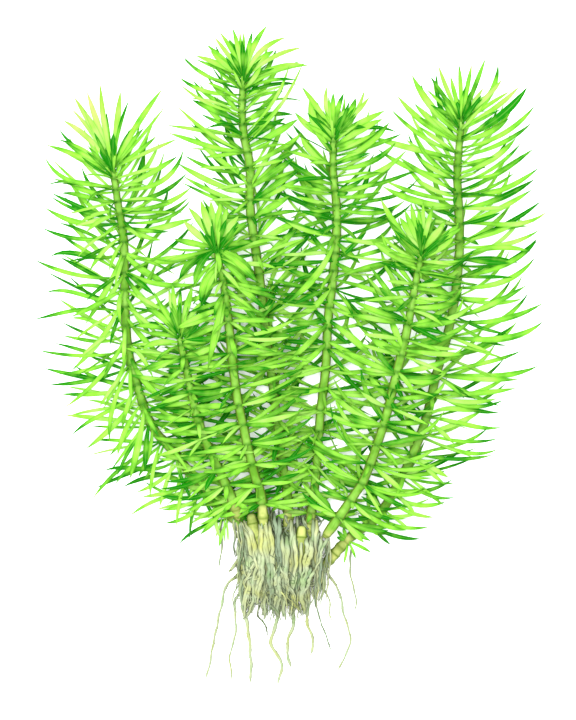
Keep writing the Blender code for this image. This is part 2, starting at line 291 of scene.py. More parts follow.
# The shares of a long root between which its side roots start.
SIDE_ROOT_STRETCH = (0.15, 0.92)
SIDE_ROOT_TURNS = (20, 60)
SIDE_ROOT_REACHES = (1.2, 4.5)
SIDE_ROOT_CURL = 0.25
SIDE_ROOT_DARKENING = 0.4

# The picture's height, the height of the plant's middle, and the camera's place, in metres.
PICTURE_HEIGHT = 0.18
MIDDLE_OF_PLANT = 0.012
CAMERA_SHIFT = -0.0005
NEAREST_SEEN = 0.01
# The lens and the side of the picture that it was made for, in the camera's millimetres.
LENS = 150
SENSOR = 36
TABLE_SIZE = 3.0
SKY_STRENGTH = 1.4
# Each soft light's name, size in metres, power in watts, place and tilt in degrees.
SOFT_BOXES = [
    ("side box", 0.5, 5.0, (-0.35, 0.35, 0.75), (-25, -25, 0)),
    ("overhead box", 0.3, 19.0, (-0.04, 0.05, 0.9), (0, 0, 0)),
]

# Each stem's route, in millimetres, from the base of its shoot tip down to its foot.
# A habit row gives, at a share of the way down the leafy stretch: how far, in degrees, a leaf
# starts above square to the stem and how much further it turns on its way out, for the leaves
# on the left, on the right and in front, and then the leaf's length.
# A crown row gives a young leaf's reach across and up from the top of its stem, its bow to the
# left of its way, its width, its tone and how far down the stem it starts.
# A side row gives where a leaf starts and ends, how far it bows to the left of its way near its
# base and near its tip, its width and its tone, as far down the stem as traced says.
# A row's tone is how the leaf looks, so its deep tones are partly the leaf's own deep green and partly
# painted shade where it lies under others.
STEMS = {}
STEMS["left"] = {
    "route": [
        (-44.4, 48.0, 9.5), (-43.2, 39.5, 9.5), (-41.8, 30.9, 9.5), (-41.5, 21.4, 9.5),
        (-41.3, 11.4, 9.5), (-40.4, 1.5, 9.5), (-37.9, -8.0, 9.0), (-34.3, -17.1, 9.0),
        (-28.0, -24.5, 8.5), (-21.5, -33.5, 7.5), (-16.8, -37.8, 7.0), (-12.3, -41.8, 6.5),
        (-9.3, -47.3, 6.0),
    ],
    "bare": 9.5,
    "pale": 9.0,
    "parting": 0.5,
    "habit": [
        (0.0, 28, 14, 32, 18, 10, -12, 18.5), (0.15, 14, 12, 10, 34, -15, -15, 19.5),
        (0.35, 7, 0, 4, 30, -26, -15, 22.0), (0.6, 2, -8, -25, 12, -38, -12, 22.0),
        (0.8, 8, -16, -50, 0, -45, -9, 21.5), (1.0, 18, -30, -55, -5, -45, -6, 17.5),
    ],
    "crown": [
        (-12.5, 12.1, -1.1, 1.3, 0.85, 0), (-10.3, 14.7, -0.7, 1.3, 0.9, 0),
        (-9.5, 17.5, -0.5, 1.3, 0.9, 0), (-6.3, 18.7, 0.0, 1.3, 0.92, 0),
        (-2.7, 20.2, 0.3, 1.3, 0.8, 0), (1.6, 19.2, 0.0, 1.4, 0.8, 0), (4.4, 16.6, 0.6, 0.9, 0.3, 0),
        (12.3, 18.7, 0.4, 1.4, 0.5, 0), (12.9, 14.9, -0.6, 1.2, 0.6, 0),
        (10.7, 8.1, -0.5, 0.9, 0.45, 0), (15.7, 7.3, 0.0, 0.9, 0.65, 0), (4.3, 9.9, 0.2, 0.8, 0.3, 0),
        (-1.6, 13.9, 0.1, 0.8, 0.3, 0), (-2.6, 9.5, 0.0, 0.8, 0.2, 0), (-4.3, 8.5, 0.1, 0.8, 0.2, 0),
        (-14.1, 7.3, -1.0, 1.2, 0.5, 1), (0.3, 8.3, 0.0, 1.3, 0.0, 0), (-2.9, 5.0, 0.2, 1.4, 0.0, 0),
        (-7.0, 14.2, -0.4, 1.3, 0.9, 0), (7.6, 9.6, 0.2, 1.0, 0.55, 0),
    ],
    "traced": 120.0,
    "sides": [
        (-45.8, 49.5, -57.9, 58.2, 0.8, 2.6, 0.8, 0.2), (-44.9, 47.8, -55.8, 54.1, 0.4, 0.5, 0.9, 0.4),
        (-45.0, 46.8, -60.6, 53.6, -0.6, -0.4, 1.4, 0.45),
        (-44.5, 43.5, -60.8, 50.6, 2.4, 5.6, 1.0, 0.5),
        (-44.5, 42.7, -61.5, 43.5, -1.6, -2.2, 1.1, 0.4),
        (-44.3, 42.0, -55.1, 44.1, 1.6, 1.6, 1.0, 0.45),
        (-44.0, 39.5, -57.2, 41.8, 0.8, -1.1, 1.1, 0.3),
        (-43.8, 37.3, -52.1, 48.3, 1.7, 2.1, 0.8, 0.05), (-43.5, 35.0, -59.6, 41.8, 1.2, 0.5, 0.9, 0.0),
        (-43.5, 35.6, -59.6, 40.9, 1.9, 1.9, 0.8, 0.1), (-43.5, 34.0, -60.9, 38.1, 2.6, 2.6, 1.2, 0.35),
        (-43.5, 37.2, -52.7, 34.0, -1.2, -1.2, 1.0, 0.55),
        (-43.2, 27.0, -58.0, 34.4, -0.9, -0.9, 0.8, 0.15),
        (-43.0, 31.3, -61.8, 33.2, 2.8, 2.8, 1.0, 0.15),
        (-43.5, 34.0, -47.1, 30.3, -0.4, -0.4, 0.8, 0.5),
        (-43.5, 21.8, -57.0, 31.0, 0.0, 0.2, 0.9, 0.35),
        (-42.5, 42.8, -28.6, 50.8, -0.9, -0.9, 1.4, 0.6),
        (-42.5, 42.5, -26.9, 52.3, -4.2, -6.4, 1.1, 0.4),
        (-42.0, 40.0, -26.5, 46.7, -3.2, -3.2, 1.2, 0.25),
        (-42.5, 44.3, -35.3, 49.5, -1.4, -1.4, 0.9, 0.4),
        (-41.2, 37.0, -37.0, 51.6, -1.7, -1.7, 0.8, 0.1),
        (-41.5, 38.2, -25.1, 43.1, -3.1, -3.1, 1.1, 0.5),
        (-41.0, 36.5, -25.9, 40.8, -3.5, -3.5, 1.2, 0.35),
        (-41.0, 34.5, -25.1, 39.9, -2.6, -4.2, 0.9, 0.3),
        (-41.0, 35.0, -32.3, 30.1, -1.7, -1.7, 1.2, 0.5),
        (-41.0, 31.5, -24.8, 35.4, -0.8, -0.8, 1.3, 0.6),
        (-41.5, 37.8, -33.0, 39.0, -1.3, -1.3, 1.3, 0.05),
        (-42.7, 27.0, -59.6, 26.0, 3.7, -2.7, 1.2, 0.2),
        (-43.3, 20.5, -63.7, 25.1, 2.2, 2.2, 1.1, 0.25),
        (-42.5, 15.7, -53.7, 18.3, -1.7, -1.7, 0.9, 0.4),
        (-42.4, 15.0, -60.8, 16.8, 2.4, -2.9, 1.0, 0.4),
        (-43.2, 11.8, -63.7, 10.2, -3.0, -0.8, 1.1, 0.25),
        (-42.3, 7.0, -54.9, 10.4, 0.0, -1.6, 0.9, 0.4), (-42.0, 6.0, -56.7, 6.1, 3.0, 1.0, 1.0, 0.3),
        (-41.8, 2.0, -62.6, 2.5, 1.8, 1.8, 1.0, 0.3), (-40.7, -3.2, -50.0, 0.8, 0.0, 0.0, 0.9, 0.05),
        (-41.0, 1.0, -57.2, -3.4, 1.0, 1.3, 0.9, 0.45), (-40.4, -2.0, -60.2, -6.1, 1.5, 1.5, 1.0, 0.2),
        (-39.3, -7.5, -53.9, -1.5, 1.2, 1.2, 0.8, 0.25), (-39.4, -6.8, -57.0, -8.4, 1.5, 1.2, 1.1, 0.5),
        (-42.8, 26.8, -50.9, 9.5, 1.5, 0.9, 1.3, 0.55), (-42.5, 15.7, -54.4, -2.2, 2.4, 2.0, 1.2, 0.6),
        (-41.7, 5.7, -55.9, -11.5, 2.6, 2.6, 1.3, 0.6), (-41.5, 1.7, -46.4, -11.7, 1.2, 0.5, 1.2, 0.6),
        (-40.6, -2.0, -44.8, -19.8, -1.7, -2.0, 1.1, 0.5),
        (-43.0, 30.7, -49.8, 22.4, -1.0, -1.0, 0.9, 0.65),
        (-42.0, 21.7, -46.6, 13.8, 0.4, 0.3, 1.0, 0.5),
        (-41.3, 26.8, -31.6, 19.9, -1.2, -1.2, 1.5, 0.4),
        (-41.0, 27.0, -23.8, 26.3, -2.7, -2.7, 1.3, 0.55),
        (-41.0, 22.0, -28.1, 29.8, -1.0, -1.6, 0.9, 0.3),
        (-41.3, 22.3, -24.0, 19.1, -2.4, -2.4, 1.2, 0.5),
        (-40.8, 15.5, -33.5, 25.0, -2.2, -2.2, 0.9, 0.3),
        (-41.0, 21.2, -30.4, 9.4, -1.2, -0.8, 1.4, 0.5),
        (-40.5, 16.0, -35.0, 6.5, -0.5, -0.3, 1.1, 0.45),
        (-40.5, 10.7, -32.7, 1.6, -0.6, -0.8, 1.2, 0.5),
        (-39.8, 3.0, -25.8, -0.4, -1.5, -1.0, 1.3, 0.45),
        (-39.5, 0.7, -31.2, -9.9, -1.5, -1.5, 1.3, 0.55), (-39.6, 1.6, -36.3, 3.8, 0.0, 0.0, 0.7, 0.05),
        (-39.0, -3.0, -31.8, -1.5, 0.2, 0.2, 0.7, 0.05),
        (-40.3, 11.0, -31.0, 15.5, -1.0, -1.6, 1.0, 0.3), (-40.2, 8.0, -31.5, 8.8, 0.9, 1.0, 0.8, 0.2),
        (-38.8, -8.8, -50.8, -21.9, 1.6, 1.2, 1.2, 0.6),
        (-37.8, -13.0, -45.2, -23.9, 0.8, 0.5, 0.8, 0.35),
        (-39.2, -8.3, -54.2, -18.6, 1.2, -1.5, 0.9, 0.3),
        (-37.2, -12.7, -45.2, -10.0, 0.8, 0.6, 0.9, 0.1),
        (-35.5, -17.0, -49.9, -16.6, 0.6, 0.3, 0.8, 0.25),
        (-32.5, -20.9, -48.5, -20.2, 0.6, -0.6, 0.8, 0.2),
        (-36.8, -12.8, -39.8, -29.0, 0.5, 0.3, 1.4, 0.58),
        (-36.2, -15.0, -44.6, -27.3, 0.4, 0.2, 0.7, 0.4),
        (-34.8, -17.5, -37.9, -29.0, 1.3, 1.1, 1.2, 0.5),
        (-31.9, -20.8, -43.5, -30.9, 0.8, -1.6, 0.9, 0.4),
        (-31.8, -21.2, -36.6, -29.9, 0.8, 0.7, 0.9, 0.4),
        (-28.8, -25.2, -46.2, -27.7, 4.2, -1.3, 1.1, 0.15),
        (-28.8, -26.3, -38.3, -33.0, 1.6, 1.4, 0.9, 0.5),
        (-25.5, -30.2, -36.8, -34.2, 2.3, 0.9, 0.9, 0.5),
        (-22.3, -34.0, -32.2, -33.8, 1.3, 1.4, 1.0, 0.1),
        (-22.3, -34.0, -36.4, -30.6, 3.6, 1.6, 0.7, 0.2),
        (-22.3, -34.6, -32.0, -37.5, 0.9, 1.3, 0.8, 0.5),
        (-21.9, -34.9, -31.3, -40.8, 2.6, 2.0, 0.9, 0.5),
        (-25.2, -30.3, -30.8, -36.3, 0.7, 0.6, 0.7, 0.45),
        (-24.2, -30.8, -25.8, -34.6, 0.2, 0.3, 0.6, 0.5),
        (-28.4, -26.0, -28.8, -33.2, 1.1, 1.0, 0.9, 0.5),
        (-25.3, -30.2, -30.8, -29.7, 0.6, 0.6, 0.5, 0.4),
        (-28.8, -25.0, -32.7, -24.8, 0.4, 0.3, 0.6, 0.45),
        (-37.8, -7.6, -33.6, -5.5, -0.3, -0.3, 0.9, 0.15),
        (-37.5, -8.0, -24.8, -11.6, -0.6, -0.4, 1.4, 0.45),
        (-36.5, -12.8, -26.0, -12.2, 0.3, 0.2, 1.1, 0.15),
        (-36.0, -13.5, -25.8, -14.2, -0.3, -0.2, 1.3, 0.45),
        (-33.5, -16.3, -23.8, -15.7, 0.2, 0.2, 0.9, 0.15),
        (-31.0, -20.3, -24.0, -20.7, 0.6, 0.5, 0.9, 0.1),
        (-30.0, -20.6, -20.5, -21.6, -0.4, -0.4, 1.1, 0.5),
        (-27.8, -24.3, -20.5, -23.0, 1.0, 0.8, 0.8, 0.1),
        (-27.8, -24.5, -20.3, -24.0, -1.0, -0.8, 1.2, 0.12),
        (-27.6, -25.2, -22.5, -29.8, 0.5, 0.4, 0.9, 0.5),
        (-24.2, -29.9, -19.5, -28.8, 0.4, 0.4, 0.9, 0.4),
        (-24.0, -30.0, -16.0, -30.4, -0.5, -0.4, 1.0, 0.45),
        (-21.2, -33.6, -13.5, -31.8, -0.8, -0.6, 1.0, 0.1),
        (-21.0, -34.2, -13.0, -36.0, 0.4, 0.4, 1.2, 0.45),
        (-20.5, -33.8, -15.0, -35.0, -0.3, -0.3, 0.9, 0.1),
        (-17.6, -38.4, -22.2, -38.6, 0.2, 0.2, 0.6, 0.5),
        (-17.6, -38.6, -24.0, -39.9, 0.3, 0.3, 0.7, 0.5),
        (-17.7, -38.9, -22.6, -41.3, 0.5, 0.5, 0.7, 0.45),
        (-17.8, -39.2, -22.3, -43.7, 0.7, 0.5, 0.8, 0.5),
        (-17.5, -39.4, -18.9, -44.8, 0.3, 0.3, 0.4, 0.6),
        (-17.2, -39.6, -16.6, -45.8, 0.1, 0.2, 0.4, 0.6),
        (-16.6, -39.6, -15.6, -46.0, 0.2, 0.3, 0.4, 0.6),
    ],
}
STEMS["tall"] = {
    "route": [
        (-11.6, 70.5, 9.5), (-12.1, 63.5, 9.5), (-11.5, 56.3, 9.5), (-10.0, 48.0, 9.5),
        (-10.0, 38.3, 9.5), (-8.5, 26.8, 9.5), (-7.3, 18.3, 9.5), (-6.1, 7.3, 9.5), (-4.3, -6.3, 9.0),
        (-2.3, -22.8, 8.5), (-0.6, -35.0, 7.5), (-0.5, -44.5, 7.0),
    ],
    "bare": 5.0,
    "pale": 7.0,
    "parting": 0.4,
    "habit": [
        (0.0, 30, 20, 28, 10, 35, -5, 13.5), (0.12, 20, 20, 26, 14, 0, -6, 17.0),
        (0.4, 12, 30, 30, 26, -8, -6, 19.0), (0.7, -4, 30, 2, 30, -6, -5, 19.5),
        (1.0, -13, 21, -10, 21, -8, -4, 16.0),
    ],
    "crown": [
        (5.7, 12.8, 0.9, 1.3, 0.6, 0), (2.2, 11.5, 0.2, 1.0, 0.6, 0), (0.0, 11.7, 0.0, 0.8, 0.65, 0),
        (-1.0, 11.9, 0.0, 0.8, 0.65, 0), (-2.6, 11.9, -0.2, 1.1, 0.6, 0),
        (-5.9, 11.5, -0.6, 1.0, 0.6, 0), (-3.6, 9.9, -0.2, 1.6, 0.45, 0),
        (-7.1, 9.9, -0.2, 1.0, 0.65, 0), (-9.1, 8.4, 0.1, 1.5, 0.65, 0),
        (-11.6, 5.3, -0.4, 1.2, 0.5, 0), (-14.7, 5.4, 2.4, 1.0, 0.35, 1),
        (10.3, 9.6, 1.7, 1.3, 0.75, 0), (14.3, 7.0, 1.1, 1.2, 0.85, 0), (14.7, 3.3, 0.8, 1.6, 0.65, 1),
        (-0.4, 8.8, 0.0, 1.3, 0.0, 0), (-3.2, 5.9, -0.1, 1.0, 0.05, 0), (4.1, 4.0, 0.1, 1.1, 0.05, 0),
        (12.8, -0.8, 1.0, 0.9, 0.1, 3), (-8.0, 6.4, 0.5, 1.3, 0.6, 0), (7.4, 6.6, 0.5, 1.4, 0.65, 0),
    ],
    "traced": 47.0,
    "sides": [
        (-12.5, 68.0, -26.3, 75.5, 1.6, 1.6, 0.8, 0.15),
        (-13.0, 70.0, -23.4, 75.3, -0.3, -0.1, 0.8, 0.35),
        (-12.5, 66.5, -27.5, 70.9, 2.0, 2.8, 1.0, 0.4), (-12.5, 63.5, -24.1, 70.2, 2.2, 2.6, 0.9, 0.2),
        (-12.5, 61.5, -27.0, 68.6, 1.5, 2.0, 0.7, 0.65),
        (-12.0, 59.5, -24.2, 65.1, 0.3, 0.2, 1.4, 0.25), (-12.0, 51.8, -27.6, 63.0, 1.6, 1.6, 0.9, 0.6),
        (-12.0, 56.7, -22.2, 61.5, 0.4, 0.3, 0.9, 0.3), (-12.0, 56.4, -30.6, 58.8, 1.0, 0.2, 1.1, 0.6),
        (-12.0, 52.3, -29.8, 56.6, 2.2, 0.4, 1.1, 0.5), (-12.0, 45.5, -23.7, 55.8, 1.0, 1.0, 1.3, 0.6),
        (-11.5, 47.5, -26.0, 51.2, 2.8, 2.0, 1.0, 0.3), (-11.5, 41.5, -27.5, 48.9, 1.3, 1.3, 1.4, 0.65),
        (-11.5, 39.3, -26.3, 45.9, 1.3, 1.3, 1.2, 0.65), (-11.0, 42.5, -19.8, 45.8, 0.5, 0.0, 0.8, 0.2),
        (-11.3, 38.0, -26.8, 44.3, 1.5, 0.5, 0.7, 0.4), (-11.3, 38.5, -19.2, 41.1, 0.6, 0.6, 1.0, 0.3),
        (-11.0, 43.5, -15.4, 51.8, 0.2, 0.6, 0.8, 0.3), (-12.2, 52.0, -16.8, 56.5, 0.3, 0.6, 1.0, 0.2),
        (-12.2, 64.0, -19.5, 69.0, 0.6, 1.2, 1.3, 0.55), (-12.2, 60.2, -18.8, 65.8, 0.6, 1.0, 1.2, 0.3),
        (-11.8, 56.2, -17.5, 60.2, 0.2, 0.4, 1.3, 0.1), (-11.2, 43.0, -18.0, 43.6, 0.9, 0.9, 1.2, 0.6),
        (-10.9, 38.2, -15.2, 36.6, -0.2, -0.2, 0.9, 0.25),
        (-10.7, 34.0, -16.5, 29.5, -0.4, -0.2, 1.1, 0.2),
        (-10.3, 29.8, -17.5, 28.0, -0.6, -0.4, 1.0, 0.1), (-10.9, 67.5, 4.4, 73.4, 2.0, 2.0, 1.2, 0.5),
        (-10.7, 68.0, 2.4, 74.9, 1.2, 0.4, 0.7, 0.4), (-10.9, 66.8, 1.6, 69.2, 0.6, 1.6, 0.9, 0.05),
        (-10.9, 64.0, -2.0, 67.0, 0.9, 0.9, 0.8, 0.3), (-10.9, 63.3, 3.4, 64.6, 0.8, 2.2, 0.8, 0.25),
        (-10.7, 61.8, -1.6, 69.3, -2.2, -3.2, 0.9, 0.15), (-9.9, 54.5, 2.9, 73.6, -2.2, -2.2, 0.9, 0.7),
        (-10.2, 57.0, -0.5, 73.1, -2.0, -2.4, 0.7, 0.7),
        (-10.0, 55.5, -0.2, 66.7, -1.0, -1.0, 1.1, 0.5), (-10.3, 56.0, -3.0, 62.6, 0.0, 0.3, 1.3, 0.15),
        (-10.0, 54.5, -1.6, 60.5, 0.5, 0.3, 1.2, 0.1), (-10.0, 53.5, 1.6, 60.1, -0.6, -0.6, 1.5, 0.45),
        (-9.8, 48.7, 2.7, 56.8, -0.2, -1.8, 1.4, 0.4), (-9.5, 47.5, 3.2, 53.5, -0.5, -0.7, 1.0, 0.25),
        (-9.6, 43.5, -4.7, 52.2, 0.3, 0.0, 1.0, 0.35), (-9.5, 43.2, 0.7, 50.2, -0.3, -0.3, 1.6, 0.4),
        (-9.3, 39.5, 2.7, 48.0, 0.2, 0.0, 1.5, 0.15), (-9.3, 39.0, 3.7, 46.0, -0.3, 0.0, 1.1, 0.3),
        (-9.0, 35.0, -0.3, 40.8, 0.3, 0.3, 1.6, 0.55), (-8.8, 34.3, 0.8, 37.5, 0.2, 0.4, 1.2, 0.45),
        (-8.7, 29.0, 3.2, 35.6, 0.3, -0.3, 1.5, 0.45), (-8.0, 24.0, 1.7, 32.7, -0.2, 0.0, 1.5, 0.5),
        (-8.3, 29.8, -2.0, 38.0, 0.2, 0.0, 1.0, 0.3), (-7.6, 23.5, 4.7, 30.8, 0.0, 0.0, 0.9, 0.4),
        (-10.6, 60.3, 0.5, 61.6, 1.0, 0.6, 1.1, 0.25), (-10.2, 59.6, -5.0, 63.0, 0.2, 0.2, 1.4, 0.4),
    ],
}
STEMS["front_left"] = {
    "route": [
        (-18.3, 27.8, 18.5), (-16.0, 16.0, 18.0), (-14.9, 5.9, 18.0), (-13.4, -7.5, 17.5),
        (-11.4, -17.5, 17.0), (-8.9, -28.3, 15.5), (-7.3, -33.3, 14.5), (-6.5, -42.0, 13.0),
    ],
    "bare": 4.5,
    "pale": 5.0,
    "parting": 0.3,
    "habit": [
        (0.0, -5, -30, -5, -30, -9, -10, 16.0), (0.16, -22, -20, -22, -20, -15, -5, 16.5),
        (0.35, -8, 10, 0, 14, -8, -2, 17.0), (0.7, -12, 34, -8, 34, -4, -1, 17.0),
        (1.0, -18, 16, -14, 22, -8, -2, 15.0),
    ],
    "crown": [
        (-2.5, 10.3, 0.2, 1.3, 0.35, 0), (-3.6, 11.1, 0.1, 1.6, 0.95, 0),
        (-1.3, 11.2, 0.1, 1.5, 0.95, 0), (1.0, 10.9, 0.0, 1.5, 0.7, 0), (2.7, 9.7, 0.1, 1.4, 0.7, 0),
        (5.4, 7.6, 0.2, 1.6, 0.85, 0), (7.7, 6.3, 0.2, 1.4, 0.4, 0), (2.5, 6.7, 0.0, 1.1, 0.1, 0),
        (-6.7, 9.7, -0.3, 1.6, 0.8, 0), (-7.8, 6.5, 0.4, 1.5, 0.85, 0), (-9.7, 2.1, 0.1, 1.3, 0.6, 0),
        (8.5, 1.3, 0.3, 1.3, 0.4, 0), (-15.0, -2.6, 1.0, 1.4, 0.6, 0), (-8.9, -7.5, -1.4, 1.4, 0.25, 0),
        (-5.3, -9.0, -1.2, 1.5, 0.35, 0), (-3.6, -13.2, -1.0, 1.5, 0.45, 4),
        (7.3, -8.8, 0.5, 1.7, 0.45, 0), (10.0, -8.3, 0.6, 1.5, 0.6, 0), (8.8, -5.4, 0.5, 1.3, 0.55, 0),
        (0.7, -6.0, 0.3, 1.2, 0.5, 0), (-2.6, 3.2, 0.0, 1.3, 0.0, 0), (2.4, 2.6, 0.0, 1.2, 0.05, 0),
    ],
    "traced": 21.0,
    "sides": [
        (-19.5, 28.0, -28.4, 29.9, 0.2, 0.2, 1.3, 0.4), (-19.5, 27.5, -30.0, 27.9, 0.9, 1.2, 0.7, 0.4),
        (-19.5, 27.3, -30.8, 24.5, 0.3, 0.3, 1.1, 0.55),
        (-18.8, 26.8, -27.5, 19.8, -1.3, -1.3, 1.1, 0.15),
        (-18.0, 21.5, -22.1, 13.2, -0.4, -0.3, 1.2, 0.15),
        (-18.0, 24.5, -22.4, 17.0, -0.5, -0.4, 1.2, 0.5),
        (-16.8, 17.5, -20.2, -1.5, 0.3, -0.2, 1.3, 0.5), (-16.3, 14.5, -19.3, 1.0, 0.3, 0.0, 1.2, 0.55),
        (-16.8, 11.7, -27.3, 7.9, 0.3, 0.3, 1.0, 0.5), (-16.6, 9.3, -26.8, 4.9, 0.3, 0.3, 1.1, 0.45),
        (-16.2, 7.0, -23.5, 3.5, 0.2, 0.2, 1.0, 0.1), (-16.6, 15.0, -24.5, 12.0, 0.4, 0.4, 1.1, 0.45),
        (-17.3, 26.8, -9.4, 29.4, -0.2, 0.2, 1.2, 0.15), (-16.9, 26.0, -8.1, 19.3, 0.7, 0.6, 1.4, 0.45),
        (-16.8, 25.2, -9.7, 17.6, 0.3, 0.3, 1.3, 0.35), (-16.3, 21.2, -6.3, 12.8, 0.3, 0.2, 1.3, 0.4),
        (-16.0, 18.8, -3.3, 15.3, 0.4, 0.3, 1.2, 0.35), (-15.8, 18.0, -7.3, 8.3, 0.6, 0.4, 1.4, 0.45),
        (-15.3, 12.2, -5.8, 7.3, 0.3, 0.3, 1.2, 0.3), (-15.0, 9.3, -7.3, 5.3, 0.3, 0.3, 1.1, 0.1),
        (-15.2, 15.0, -6.0, 10.5, 0.4, 0.4, 1.3, 0.45),
    ],
}
